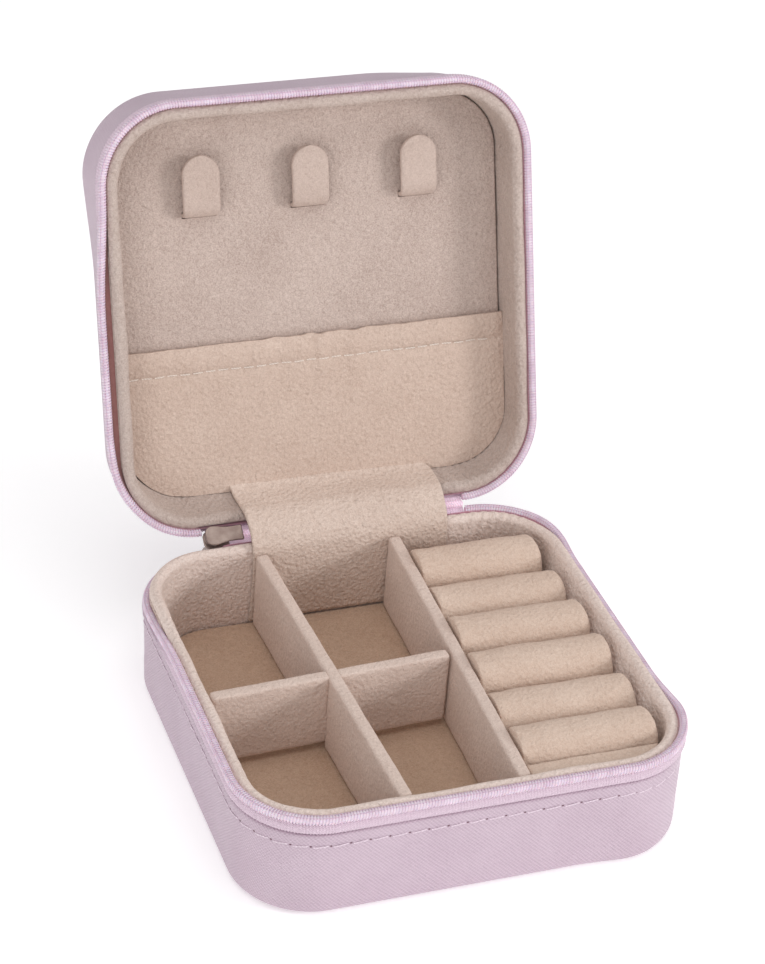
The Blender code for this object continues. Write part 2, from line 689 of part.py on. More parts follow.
def build_slider():
    """The slider around the coil: two plates, the post that parts the zip halves, and a bridge outside.
    Drawn about the joined coil, with the inside of the box at +Z."""
    name = "zip_slider"
    left = SLIDER_X - SLIDER_LENGTH / 2
    right = SLIDER_X + SLIDER_LENGTH / 2
    half = SLIDER_WIDTH / 2
    outer_half = OUTER_PLATE_WIDTH / 2
    post_x = left + POST_FROM_END
    overlap = 0.0002
    inner_plate = box_mesh(name, (left, -half, PLATE_NEAR), (right, half, PLATE_FAR))
    slider = add_part(name, inner_plate, "slider_metal")
    combine(slider, "UNION", rod_mesh(name + "_post", (post_x, 0.0, -PLATE_FAR + overlap),
                                      (post_x, 0.0, PLATE_FAR - overlap), POST_RADIUS))
    combine(slider, "UNION", box_mesh(name + "_outer_plate", (left, -outer_half, -PLATE_FAR),
                                      (right, outer_half, -PLATE_NEAR)))
    for leg_left in (-BRIDGE_HALF_LENGTH, BRIDGE_HALF_LENGTH - BRIDGE_LEG):
        leg_x = SLIDER_X + leg_left
        combine(slider, "UNION", box_mesh(name + "_leg",
                                          (leg_x, -BRIDGE_HALF_WIDTH, BRIDGE_LOW + overlap),
                                          (leg_x + BRIDGE_LEG, BRIDGE_HALF_WIDTH, -PLATE_FAR + overlap)))
    combine(slider, "UNION", box_mesh(name + "_bridge",
                                      (SLIDER_X - BRIDGE_HALF_LENGTH, -BRIDGE_HALF_WIDTH, BRIDGE_LOW),
                                      (SLIDER_X + BRIDGE_HALF_LENGTH, BRIDGE_HALF_WIDTH,
                                       BRIDGE_LOW + BRIDGE_THICKNESS)))
    return slider


def build_pull():
    """The pull: a pin under the slider's bridge, two arms and a flat tab, pointing out of the box."""
    name = "zip_pull_tab"
    pin = rod_mesh(name, (SLIDER_X, -PIN_HALF_LENGTH, -PIN_DROP), (SLIDER_X, PIN_HALF_LENGTH, -PIN_DROP),
                   PIN_RADIUS, 1.0, 8)
    pull = add_part(name, pin, "slider_metal")
    arm_low = PULL_START - PULL_ARM
    arm_high = -PIN_DROP + PIN_RADIUS + 0.0001
    for arm_y in (-PIN_HALF_LENGTH, PIN_HALF_LENGTH):
        combine(pull, "UNION", box_mesh(name + "_arm",
                                        (SLIDER_X - 0.0005, arm_y - PULL_ARM, arm_low),
                                        (SLIDER_X + 0.0005, arm_y + PULL_ARM, arm_high)))
    neck = PULL_NECK_WIDTH / 2
    wide = PULL_WIDTH / 2
    shoulder = PIN_HALF_LENGTH + PULL_ARM
    shoulder_end = PULL_START - PULL_SHOULDER
    outline = [(-neck, PULL_NECK_END), (-neck, shoulder_end), (-shoulder, shoulder_end), (-shoulder, PULL_START),
               (shoulder, PULL_START), (shoulder, shoulder_end), (neck, shoulder_end), (neck, PULL_NECK_END),
               (wide, PULL_WIDE_FROM)]
    outline += arc(0.0, PULL_END + wide, wide, 0, -180, 8)
    outline.append((-wide, PULL_WIDE_FROM))
    combine(pull, "UNION", tab_mesh(name + "_plate", outline, SLIDER_X, PULL_THICKNESS))
    return pull


def slider_recess(liner):
    """Cut back the outer edge of a liner's rim where the slider parks, so that the slider can turn there."""
    low = SEAM_HEIGHT - SLIDER_RECESS_HALF_HEIGHT
    high = SEAM_HEIGHT + SLIDER_RECESS_HALF_HEIGHT
    cutter = box_mesh(liner.name + "_recess", (SLIDER_RECESS_X[0], HALF_DEPTH - SLIDER_RECESS_INSIDE, low),
                      (SLIDER_RECESS_X[1], HALF_DEPTH, high))
    liner = as_mesh(liner)
    combine(liner, "DIFFERENCE", cutter)
    return liner


build_base_walls()
build_dividers()
build_ring_tray()
build_lid()
build_hinge_strips()
build_joined_zip()
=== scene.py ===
"""Looks of the square zip-around travel jewellery box, standing open.

Everything is in metres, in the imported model's frame. Pieces of the lid are drawn as a second base, mirrored
in the seam plane, and turned open about the hinge. A place on a wall is given by the distance around the
box's outline, anticlockwise from its back middle, the distance inward from it, and the height.
"""

import json
import math

import bmesh
import bpy
import numpy as np
from mathutils import Matrix, Vector, noise


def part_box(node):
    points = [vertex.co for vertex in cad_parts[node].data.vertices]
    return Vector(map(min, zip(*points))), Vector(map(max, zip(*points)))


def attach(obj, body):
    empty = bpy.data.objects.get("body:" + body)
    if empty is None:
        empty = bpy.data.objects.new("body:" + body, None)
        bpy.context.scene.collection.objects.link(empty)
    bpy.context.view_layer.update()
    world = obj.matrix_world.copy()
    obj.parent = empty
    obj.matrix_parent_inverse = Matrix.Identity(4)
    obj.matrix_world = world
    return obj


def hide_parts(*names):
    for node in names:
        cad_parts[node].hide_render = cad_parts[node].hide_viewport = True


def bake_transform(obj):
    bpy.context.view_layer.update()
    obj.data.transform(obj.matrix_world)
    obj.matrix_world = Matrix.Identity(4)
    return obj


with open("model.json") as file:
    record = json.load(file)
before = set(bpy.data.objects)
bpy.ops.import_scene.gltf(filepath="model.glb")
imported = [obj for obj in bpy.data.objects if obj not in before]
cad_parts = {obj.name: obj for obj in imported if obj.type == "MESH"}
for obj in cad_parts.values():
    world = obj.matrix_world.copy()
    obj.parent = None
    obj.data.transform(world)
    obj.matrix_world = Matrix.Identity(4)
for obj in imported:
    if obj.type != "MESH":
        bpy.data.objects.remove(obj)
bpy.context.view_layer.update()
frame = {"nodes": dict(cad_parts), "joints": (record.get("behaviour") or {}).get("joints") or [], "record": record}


def put(name, data):
    """A new object in the scene."""
    made = bpy.data.objects.new(name, data)
    bpy.context.scene.collection.objects.link(made)
    return made


def middle_of(node):
    """The middle of a CAD node's box."""
    low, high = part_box(node)
    return (low + high) / 2


def turned_over(total):
    """Mirror in the level plane at half of total."""
    return Matrix.Translation((0, 0, total)) @ Matrix.Diagonal((1, 1, -1, 1))


# ---------------------------------------------------------------- numbers read from the frame
joints = {joint["name"]: joint for joint in frame["joints"]}
HINGE = Vector(joints["lid_hinge"]["pos_m"])
OPEN_ANGLE = math.radians(joints["lid_hinge"]["range_deg"][1])
SEAM = HINGE.z
HALF_X, HALF_Y, LEATHER_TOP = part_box("base_side_cover")[1]
WALL_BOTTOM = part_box("base_liner")[0].z
DIVIDER_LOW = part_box("long_divider_left")[0].z

# ---------------------------------------------------------------- driving dimensions of the looks
CORNER = 0.018
BOX_HEIGHT = 0.047
GAP = 0.0003
COVER = 0.0009
LINER_INSIDE = 0.0040
STITCH_DROP = 0.0029
STITCH_PITCH = 0.0042
STITCH_LENGTH = 0.0031
TOOTH_PITCH = 0.00064
DIVIDER_THICKNESS = 0.0029
LEFT_TURN = math.radians(2.3)
RIGHT_TURN = math.radians(-1.5)
CROSS_TURN = math.radians(2.4)
PANEL_FACE = 0.0380
PANEL_BACK = 0.0402
PANEL_INSET = 0.0043
POCKET_FACE = 0.0364
POCKET_TOP = 0.0080
POCKET_STITCH = 0.0138
HINGE_SPAN = (-0.0205, 0.0255)
FLAP_SPAN = (-0.0215, 0.0260)
THREAD_RADIUS = 0.00015

# stretches of the outline, as stretch() takes them
LID_LEFT_SPLAY = (0.046, 0.068, 0.094, 0.124)
BASE_BACK_LEFT_SAG = (0.0270, 0.0310, 0.060, 0.084)
BASE_RIGHT_SAG = (0.238, 0.256, 0.298, 0.316)
BASE_RIGHT_WALL = (0.236, 0.252, 0.296, 0.312)

RUN_X = HALF_X - CORNER
RUN_Y = HALF_Y - CORNER
TURN = CORNER * math.pi / 2
PERIMETER = 4 * (RUN_X + RUN_Y + TURN)
WRINKLES = PERIMETER - RUN_X - 0.005
COIL_CENTRE = (0.00028, SEAM - 0.00112)
COIL_RUN = (RUN_X - 0.0001, PERIMETER - RUN_X + 0.0006)

ABOUT_HINGE = Matrix.Translation(HINGE)
LID_OPEN = ABOUT_HINGE @ Matrix.Rotation(-OPEN_ANGLE, 4, "X") @ ABOUT_HINGE.inverted()
ZIP_TURN = ABOUT_HINGE @ Matrix.Rotation((math.pi - OPEN_ANGLE) / 2, 4, "X")
UV_NAME = "surface"

# flare is where a leatherette band stands further out: the stretch() of the outline, and how far
HALVES = {
    "base": {"place": None, "bottom": 0.0, "edge": 0.0025, "turn_in": 0.0045, "lean": 0.0006,
             "lining_low": WALL_BOTTOM, "seed": 0.7, "sewn": 1.0,
             "flare": (0.204, 0.222, 0.240, 0.262), "flare_reach": 0.0010},
    "lid": {"place": LID_OPEN @ turned_over(2 * SEAM), "bottom": 2 * SEAM - BOX_HEIGHT, "edge": 0.0050,
            "turn_in": 0.0078, "lean": 0.0008, "lining_low": 2 * SEAM - 0.0436, "seed": 2.9, "sewn": 0.0,
            "flare": (0.100, 0.128, 0.198, 0.220), "flare_reach": 0.0013},
}


# ---------------------------------------------------------------- materials
def srgb(red, green, blue):
    """Linear colour of an sRGB one given in 0 to 255."""
    linear = []
    for value in (red, green, blue):
        value /= 255
        linear.append(value / 12.92 if value <= 0.04045 else ((value + 0.055) / 1.055) ** 2.4)
    return (*linear, 1.0)


class Finish:
    """A Principled material, with the node recipes that the finishes share."""

    def __init__(self, name, roughness, *sockets):
        self.material = bpy.data.materials.new(name)
        self.material.use_nodes = True
        self.tree = self.material.node_tree
        self.shader = self.tree.nodes["Principled BSDF"]
        self.fill(self.shader, ("Roughness", roughness), *sockets)

    def fill(self, node, *inputs):
        """Give a node its inputs, each (socket, value or output socket)."""
        for socket, value in inputs:
            if isinstance(value, bpy.types.NodeSocket):
                self.tree.links.new(value, node.inputs[socket])
            else:
                node.inputs[socket].default_value = value

    def node(self, kind, *inputs, **settings):
        made = self.tree.nodes.new(kind)
        for setting, value in settings.items():
            setattr(made, setting, value)
        self.fill(made, *inputs)
        return made

    def math(self, operation, first, second=0.0):
        return self.node("ShaderNodeMath", (0, first), (1, second), operation=operation).outputs[0]

    def add(self, first, second):
        return self.math("ADD", first, second)

    def times(self, first, second):
        return self.math("MULTIPLY", first, second)

    def wave(self, value, rate):
        return self.math("SINE", self.times(value, rate))

    def noise(self, vector, scale, detail=2.0, distortion=0.0):
        return self.node("ShaderNodeTexNoise", ("Vector", vector), ("Scale", scale), ("Detail", detail),
                         ("Distortion", distortion)).outputs["Fac"]

    def fade(self, value, low, high, to_low=0.0, to_high=1.0):
        return self.node("ShaderNodeMapRange", ("Value", value), ("From Min", low), ("From Max", high),
                         ("To Min", to_low), ("To Max", to_high)).outputs["Result"]

    def blend(self, factor, first, second):
        mix = self.node("ShaderNodeMix", ("Factor", factor), (6, first), (7, second), data_type="RGBA")
        return mix.outputs[2]

    def tint(self, tone, low, high, dark, light):
        """From dark to light, as tone goes from low to high."""
        return self.blend(self.fade(tone, low, high), dark, light)

    def object_place(self):
        return self.node("ShaderNodeTexCoord").outputs["Object"]

    def surface_place(self):
        """The place on the surface, and its two parts."""
        place = self.node("ShaderNodeUVMap", uv_map=UV_NAME).outputs["UV"]
        parts = self.node("ShaderNodeSeparateXYZ", (0, place)).outputs
        return place, parts[0], parts[1]

    def done(self, colour, roughness, *bumps):
        """Connect the colour, the roughness and the stacked bumps, each (height, depth in metres)."""
        self.fill(self.shader, ("Base Color", colour), ("Roughness", roughness))
        below = ()
        for height, depth in bumps:
            bump = self.node("ShaderNodeBump", ("Height", height), ("Distance", depth), ("Strength", 1.0),
                             *below)
            below = (("Normal", bump.outputs["Normal"]),)
        self.fill(self.shader, *below)
        return self.material


def velvet(name, light, dark, pebble, grain=1.0):
    """Short-napped velvet: a mottled nap, and pebble-like crazing where it is glued down."""
    finish = Finish(name, 0.95, ("Sheen Weight", 0.35), ("Sheen Roughness", 0.45),
                    ("Sheen Tint", srgb(236, 222, 210)), ("Specular IOR Level", 0.15))
    place = finish.object_place()
    nap = finish.noise(place, 3400, 3.0)
    mottle = finish.noise(place, 1100, 2.0, 0.6)
    cloud = finish.noise(place, 60)
    cells = finish.node("ShaderNodeTexVoronoi", ("Vector", place), ("Scale", 1300), ("Randomness", 1.0),
                        feature="SMOOTH_F1").outputs["Distance"]
    tone = finish.add(finish.times(nap, 0.55 * grain), finish.times(mottle, 0.22))
    tone = finish.add(tone, finish.times(cloud, 0.20))
    tone = finish.math("SUBTRACT", tone, finish.times(cells, 0.18 * pebble))
    centre = 0.27 * grain + 0.21 - 0.06 * pebble
    return finish.done(finish.tint(tone, centre - 0.16, centre + 0.16, dark, light),
                       finish.fade(nap, 0.3, 0.7, 0.99, 0.88),
                       (cells, -0.00045 * pebble), (mottle, 0.00022), (nap, 0.00010 * grain))


def leatherette():
    """Cross-grained leatherette: fine ridges at 45 degrees, broken by a fainter set across them."""
    ridge_pitch = 0.00068
    finish = Finish("leatherette", 0.46, ("Coat Weight", 0.06), ("Coat Roughness", 0.35),
                    ("Specular IOR Level", 0.42))
    place, across, along = finish.surface_place()
    wander = finish.times(finish.noise(place, 260), 2.6)
    slope = 2 * math.pi / ridge_pitch * math.sqrt(0.5)
    down = finish.times(finish.add(across, along), slope)
    up = finish.times(finish.math("SUBTRACT", across, along), slope * 1.15)
    ridges = finish.math("SINE", finish.add(down, wander))
    crossing = finish.math("SINE", finish.add(up, finish.times(wander, 1.7)))
    breaks = finish.fade(finish.noise(place, 1400), 0.35, 0.65, 0.35, 1.0)
    hatch = finish.add(finish.times(finish.times(ridges, breaks), 0.5), finish.times(crossing, 0.22))
    cloud = finish.noise(place, 90, 3.0)
    tone = finish.add(finish.fade(hatch, -0.7, 0.7, 0.0, 0.7), finish.times(cloud, 0.5))
    return finish.done(finish.tint(tone, 0.15, 1.05, srgb(180, 157, 172), srgb(208, 189, 201)),
                       finish.fade(hatch, -0.6, 0.6, 0.58, 0.42),
                       (hatch, 0.00011), (finish.noise(place, 4200), 0.00003))


def thread(name, dark, light):
    """Twisted sewing thread."""
    finish = Finish(name, 0.6, ("Sheen Weight", 0.2))
    _, across, along = finish.surface_place()
    twist = finish.wave(finish.add(across, along), 9000)
    return finish.done(finish.tint(twist, -1, 1, dark, light), finish.fade(twist, -1, 1, 0.7, 0.5),
                       (twist, 0.00004))


def painted_hole_shade():
    """Painted shade: the dark colour that stands for the shade inside a needle hole."""
    finish = Finish("painted_hole_shade", 0.9)
    place = finish.object_place()
    shade_speckle = finish.noise(place, 4000)
    return finish.done(finish.blend(shade_speckle, srgb(96, 62, 74), srgb(128, 92, 104)),
                       finish.fade(shade_speckle, 0.3, 0.7, 0.95, 0.8), (finish.noise(place, 6000), 0.00003))


def painted_glow(strength):
    """A painted glow that stands for light coming through thin fabric from behind."""
    return ("Emission Color", srgb(230, 202, 218)), ("Emission Strength", strength)


def zip_tape(name, through):
    """Woven polyester tape, ribbed across its run. through is the strength of a painted glow for light shining
    through it.
    """
    row_pitch = 0.00042
    finish = Finish(name, 0.82, ("Sheen Weight", 0.25), ("Sheen Roughness", 0.5), *painted_glow(through))
    place, across, along = finish.surface_place()
    ribs = finish.wave(across, 2 * math.pi / TOOTH_PITCH)
    rows = finish.wave(along, 2 * math.pi / row_pitch)
    weave = finish.times(ribs, rows)
    tone = finish.add(finish.fade(weave, -1, 1, 0.0, 0.6), finish.times(finish.noise(place, 1500), 0.5))
    return finish.done(finish.tint(tone, 0.1, 0.9, srgb(206, 179, 197), srgb(233, 212, 225)),
                       finish.fade(weave, -1, 1, 0.9, 0.74),
                       (weave, 0.00006), (finish.noise(place, 5200), 0.00003))


def rose_edge():
    """The sewn inner edge of the tape in rose, darkened to brown with painted shade on the left, where the zip
    stands away.
    """
    finish = Finish("zip_tape_edge", 0.8, ("Sheen Weight", 0.2))
    place, around_box, _ = finish.surface_place()
    # Painted shade: on this stretch of the left side the edge lies in shade where the zip stands away, so it turns
    # brown.
    shade_stretch = finish.times(finish.fade(around_box, 0.046, 0.060), finish.fade(around_box, 0.128, 0.112))
    threads = finish.times(finish.noise(place, 900), 0.6)
    painted_shade = finish.blend(threads, srgb(150, 98, 96), srgb(188, 136, 128))
    pale = finish.blend(threads, srgb(188, 132, 150), srgb(212, 164, 178))
    return finish.done(finish.blend(shade_stretch, pale, painted_shade), finish.fade(threads, 0.15, 0.45, 0.9, 0.7),
                       (finish.noise(place, 3000), 0.00005))


def nylon(name, through):
    """Moulded nylon coil. through is the strength of a painted glow for light shining through it."""
    finish = Finish(name, 0.36, ("Subsurface Weight", 0.12), ("Subsurface Scale", 0.0008),
                    ("Specular IOR Level", 0.5), *painted_glow(through))
    place = finish.object_place()
    drift = finish.noise(place, 400)
    return finish.done(finish.tint(drift, 0.3, 0.7, srgb(216, 192, 208), srgb(233, 214, 227)),
                       finish.fade(finish.noise(place, 2400), 0.3, 0.7, 0.30, 0.46),
                       (finish.noise(place, 5000, 1.0), 0.00002))


def slider_metal():
    """Dull grey-brown plated zinc, a little scratched."""
    finish = Finish("slider_metal", 0.5, ("Metallic", 0.8))
    place = finish.object_place()
    stretched = finish.node("ShaderNodeMapping", ("Vector", place), ("Scale", (0.12, 1.0, 1.0))).outputs[0]
    scratches = finish.noise(stretched, 5200, 3.0)
    stain = finish.noise(place, 420, 3.0)
    return finish.done(finish.tint(stain, 0.3, 0.7, srgb(140, 120, 113), srgb(172, 154, 145)),
                       finish.fade(scratches, 0.3, 0.75, 0.32, 0.55), (scratches, 0.00002))


def hidden_stock(name, light, dark, scale, depth):
    """Board, foam or elastic inside the walls, seen only when the box is taken apart."""
    finish = Finish(name, 0.92)
    speckle = finish.noise(finish.object_place(), scale, 4.0)
    return finish.done(finish.tint(speckle, 0.3, 0.7, dark, light),
                       finish.fade(speckle, 0.3, 0.7, 0.98, 0.84), (speckle, depth))


LEATHER = leatherette()
THREAD = thread("sewing_thread", srgb(218, 198, 211), srgb(238, 222, 232))
POCKET_THREAD = thread("pocket_thread", srgb(214, 199, 188), srgb(234, 222, 212))
COIL_THREAD = thread("coil_thread", srgb(196, 160, 184), srgb(224, 196, 214))
HOLE_SHADE = painted_hole_shade()
TAPE = zip_tape("zip_tape", 0.0)
# Painted light: a copy of the tape that glows, for light shining through the joined zip from behind.
JOINED_TAPE = zip_tape("joined_zip_tape", 0.22)
ROSE = rose_edge()
NYLON = nylon("nylon_coil", 0.0)
# Painted light: a copy of the coil that glows, for light shining through the joined zip from behind.
JOINED_NYLON = nylon("joined_nylon_coil", 0.30)
METAL = slider_metal()
VELVETS = {kind: velvet(kind + "_velvet", srgb(*light), srgb(*dark), *texture)
           for kind, light, dark, *texture in (
    # The base wall and lid wall velvets are one lining velvet: the base's is lightened with painted light, the
    # lid's darkened with painted shade.
    ("wall", (240, 224, 216), (212, 191, 181), 0.8),
    ("lid_wall_shade", (204, 188, 180), (172, 153, 144), 0.8),
    ("flap", (230, 211, 199), (198, 176, 163), 0.8),
    ("pocket", (216, 195, 182), (188, 164, 150), 0.6),
    ("panel", (208, 190, 181), (172, 152, 143), 0.5, 1.2),
    # Painted shade: the hook velvet is a darker copy of the dividers' smooth velvet.
    ("hook", (206, 187, 177), (178, 157, 147), 0.25, 0.8),
    ("smooth", (228, 209, 198), (200, 178, 167), 0.45, 0.9),
    # Painted shade and light: the floor velvet is darker and browner than the walls', for the shade and the warm
    # bounced light in the compartments.
    ("floor", (206, 178, 156), (176, 146, 124), 0.25),
    ("roll", (224, 203, 188), (198, 172, 155), 0.45, 0.9),
)}
HIDDEN = {
    "board": hidden_stock("grey_board", srgb(176, 166, 150), srgb(146, 136, 120), 1800, 0.00005),
    "foam": hidden_stock("foam", srgb(232, 228, 214), srgb(206, 200, 184), 2600, 0.00012),
    "elastic": hidden_stock("elastic", srgb(226, 218, 206), srgb(200, 190, 176), 3200, 0.00006),
}


# ---------------------------------------------------------------- shapes in numbers
def arc(centre_x, centre_y, radius, start, end, steps, squash=1.0):
    """Points on an arc between two angles in degrees. squash scales it along the second axis."""
    angles = np.radians(np.linspace(start, end, steps + 1))
    return list(zip(centre_x + radius * np.cos(angles), centre_y + radius * squash * np.sin(angles)))


def curve(share, start, start_pull, end_pull, end):
    """Points of a cubic curve, at shares of 0 to 1."""
    rest = 1 - share
    return (rest ** 3 * start + 3 * share * rest ** 2 * start_pull + 3 * share ** 2 * rest * end_pull
            + share ** 3 * end)


def ramp(value, start, end):
    """0 up to start and 1 from end on, straight between them. It falls instead if end comes first."""
    return np.clip((value - start) / (end - start), 0, 1)


def eased(share):
    """A share of 0 to 1 with soft ends."""
    return share * share * (3 - 2 * share)


def stretch(distance, start, full, fade, end):
    """1 on a stretch of the outline, growing from 0 at start and back to 0 at end."""
    return eased(ramp(distance, start, full) * ramp(distance, end, fade))


def bump(value, width):
    """1 at 0, falling to nothing a few widths away."""
    return np.exp(-(value / width) ** 2)


def squared(wave, power):
    """A sine or cosine with flatter tops."""
    return np.sign(wave) * np.abs(wave) ** power


def run_along(points):
    """Distance along a path at each of its points."""
    return np.concatenate([[0.0], np.cumsum(np.linalg.norm(np.diff(points, axis=0), axis=1))])


def points_of(*coordinates):
    """An array of points from their x, y and z, which may be single numbers."""
    return np.stack(np.broadcast_arrays(*coordinates), -1)


def outline_at(distance):
    """Positions and outward directions on the box's outline."""
    distance = np.mod(distance, PERIMETER)
    lengths = [RUN_X, TURN, 2 * RUN_Y, TURN, 2 * RUN_X, TURN, 2 * RUN_Y, TURN, RUN_X]
    starts = np.concatenate([[0.0], np.cumsum(lengths)])
    part = np.clip(np.searchsorted(starts, distance, side="right") - 1, 0, 8)
    along = distance - starts[part]
    on_corner = part % 2 == 1
    outward = np.radians(90.0) * (part // 2 + 1) + np.where(on_corner, along / CORNER, 0.0)
    outward_x = np.cos(outward)
    outward_y = np.sin(outward)
    centres = np.array([(RUN_X, RUN_Y), (-RUN_X, RUN_Y), (-RUN_X, -RUN_Y), (RUN_X, -RUN_Y), (RUN_X, RUN_Y)])
    side_start = centres[part // 2].copy()
    side_start[part == 0] = (0.0, RUN_Y)
    centre = np.where(on_corner[..., None], centres[np.minimum(part // 2 + 1, 4)], side_start)
    slide = np.where(on_corner, 0.0, along)
    x = centre[..., 0] + CORNER * outward_x - slide * outward_y
    y = centre[..., 1] + CORNER * outward_y + slide * outward_x
    return x, y, outward_x, outward_y


def on_outline(distance, inward, height):
    """Points at distances around the outline, inward from it and at heights."""
    x, y, outward_x, outward_y = outline_at(distance)
    return points_of(x - outward_x * inward, y - outward_y * inward, height)


def around(spacing, start=0.0, end=None):
    """Distances around the outline. Without an end they go all the way round."""
    if end is None:
        count = int(PERIMETER / spacing)
        return np.arange(count) * (PERIMETER / count)
    return np.linspace(start, end, int((end - start) / spacing) + 1)


def nested_outline(inset, corner_points=14, side_points=26):
    """The outline at a distance inward, always with the same number of points."""
    radius = max(CORNER - inset, 0.0012)
    run_x = HALF_X - inset - radius
    run_y = HALF_Y - inset - radius
    corners = [np.array(arc(side_x * run_x, side_y * run_y, radius, start, start + 90, corner_points))
               for side_x, side_y, start in ((-1, 1, 90), (-1, -1, 180), (1, -1, 270), (1, 1, 0))]
    share = np.arange(1, side_points)[:, None] / side_points
    points = []
    for corner, following in zip(corners, corners[1:] + corners[:1]):
        points += [corner, corner[-1] + (following[0] - corner[-1]) * share]
    return np.concatenate(points)


# ---------------------------------------------------------------- shapes as (points, faces, UVs)
def grid(points, rows_wrap=False, columns_wrap=False, u=None, v=None, caps=False):
    """Faces and corner UVs for a rows x columns x 3 array of points. Without u and v, the UVs are x and y."""
    rows, columns = points.shape[:2]
    r0, c0 = np.meshgrid(np.arange(rows if rows_wrap else rows - 1),
                         np.arange(columns if columns_wrap else columns - 1), indexing="ij")
    r1 = (r0 + 1) % rows
    c1 = (c0 + 1) % columns
    corners = [(r0, c0, r0, c0), (r1, c0, r0 + 1, c0), (r1, c1, r0 + 1, c0 + 1), (r0, c1, r0, c0 + 1)]
    faces = np.stack([row * columns + column for row, column, _, _ in corners], -1).reshape(-1, 4)
    points = points.reshape(-1, 3)
    if u is None:
        uvs = points[faces.ravel()][:, :2]
    else:
        uvs = np.stack([np.stack([u[i], v[j]], -1) for _, _, i, j in corners], -2).reshape(-1, 2)
    faces = faces.tolist()
    if caps:
        faces += [list(range(columns)), list(range((rows - 1) * columns, rows * columns))]
        uvs = np.concatenate([uvs, points[np.array(faces[-2] + faces[-1])][:, :2]])
    return points, faces, uvs


def merged(shapes):
    """Several shapes as one."""
    points, faces, uvs, offset = [], [], [], 0
    for shape_points, shape_faces, shape_uvs in shapes:
        points.append(shape_points)
        uvs.append(shape_uvs)
        faces += [[index + offset for index in face] for face in shape_faces]
        offset += len(shape_points)
    return np.concatenate(points), faces, np.concatenate(uvs)


def sweep(section, distances, closed, bend=None):
    """Carry a closed section of (inward, height) points around the outline. bend gets the distances, the
    inward distances and the heights as arrays, and returns the last two."""
    section = np.array(section)
    places = distances[:, None]
    inward, height = (np.repeat(section[None, :, axis], len(distances), 0) for axis in (0, 1))
    if bend:
        inward, height = bend(places, inward, height)
    u = np.append(distances, PERIMETER + distances[0])
    v = run_along(np.concatenate([section, section[:1]]))
    return grid(on_outline(places, inward, height), closed, True, u, v, caps=not closed)


def tubes(paths, radius, reference, sides=6):
    """Round threads along paths, an array of threads x points x 3. reference is a direction across them."""
    ahead = np.roll(paths, -1, 1) - np.roll(paths, 1, 1)
    ahead[:, 0] = paths[:, 1] - paths[:, 0]
    ahead[:, -1] = paths[:, -1] - paths[:, -2]
    ahead /= np.linalg.norm(ahead, axis=2, keepdims=True)
    side = np.cross(ahead, np.broadcast_to(reference, paths.shape))
    side /= np.linalg.norm(side, axis=2, keepdims=True)
    up = np.cross(side, ahead)
    angles = np.arange(sides) * 2 * math.pi / sides
    ring = side[:, :, None] * np.cos(angles)[:, None] + up[:, :, None] * np.sin(angles)[:, None]
    points = paths[:, :, None] + ring * radius
    length = np.arange(paths.shape[1] + 1) * np.linalg.norm(paths[0, 1] - paths[0, 0])
    v = np.arange(sides + 1) * 2 * math.pi / sides * radius
    return merged([grid(one, False, True, length, v, caps=True) for one in points])


def pad(inset, low, high, edge, crown=0.0):
    """A plate with a soft upper edge and a face that rises by crown towards its middle."""
    steps = 14
    reach = HALF_Y - inset - 0.002
    profile = [(inset + edge * 0.5, low), (inset, low + edge * 0.5)]
    profile += arc(inset + edge, high - edge, edge, 180, 90, 5)
    profile += [(inset + edge + (reach - edge) * i / steps, high + crown * math.sin(math.pi / 2 * i / steps))
                for i in range(1, steps + 1)]
    rings = []
    for ring_inset, height in profile:
        outline = nested_outline(ring_inset)
        rings.append(np.concatenate([outline, np.full((len(outline), 1), height)], 1))
    return grid(np.array(rings), False, True, caps=True)


def strip(path, left, right, columns):
    """A surface along a path of (y, z) points, from x = left to x = right, and the run of the path."""
    path = np.array(path)
    x = left[:, None] + (right - left)[:, None] * np.linspace(0, 1, columns)
    return points_of(x, path[:, :1], path[:, 1:]), run_along(path)


# ---------------------------------------------------------------- meshes and pieces
def edited(mesh, edit):
    """Change a mesh by a function that works on its bmesh."""
    bm = bmesh.new()
    bm.from_mesh(mesh)
    edit(bm)
    bm.to_mesh(mesh)
    bm.free()
    return mesh


def mesh_from(name, shape, place=None, sharp=60.0):
    """A mesh from a shape, with its faces pointing out."""
    points, faces, uvs = shape
    mesh = bpy.data.meshes.new(name)
    mesh.from_pydata(points.tolist(), [], faces)
    mesh.uv_layers.new(name=UV_NAME).data.foreach_set("uv", uvs.astype(np.float32).ravel())
    if place is not None:
        mesh.transform(place)
    edited(mesh, lambda bm: bmesh.ops.recalc_face_normals(bm, faces=bm.faces))
    mesh.shade_smooth()
    mesh.set_sharp_from_angle(angle=math.radians(sharp))
    return mesh


def prism(name, outline, along):
    """A flat outline of points, carried along a vector."""
    def fill(bm):
        face = bm.faces.new([bm.verts.new(point) for point in outline])
        pushed = bmesh.ops.extrude_face_region(bm, geom=[face])["geom"]
        far = [item for item in pushed if isinstance(item, bmesh.types.BMVert)]
        bmesh.ops.translate(bm, vec=along, verts=far)
        bmesh.ops.recalc_face_normals(bm, faces=bm.faces)

    return edited(bpy.data.meshes.new(name), fill)


def board(name, outline, thickness):
    """A flat (x, z) outline, thickened along y."""
    return prism(name, [(x, -thickness / 2, z) for x, z in outline], (0, thickness, 0))


def block(name, low, high):
    """A box between two corners."""
    def fill(bm):
        bmesh.ops.create_cube(bm, size=1.0)
        bmesh.ops.scale(bm, vec=Vector(high) - Vector(low), verts=bm.verts)
        bmesh.ops.translate(bm, vec=(Vector(high) + Vector(low)) / 2, verts=bm.verts)

    return edited(bpy.data.meshes.new(name), fill)


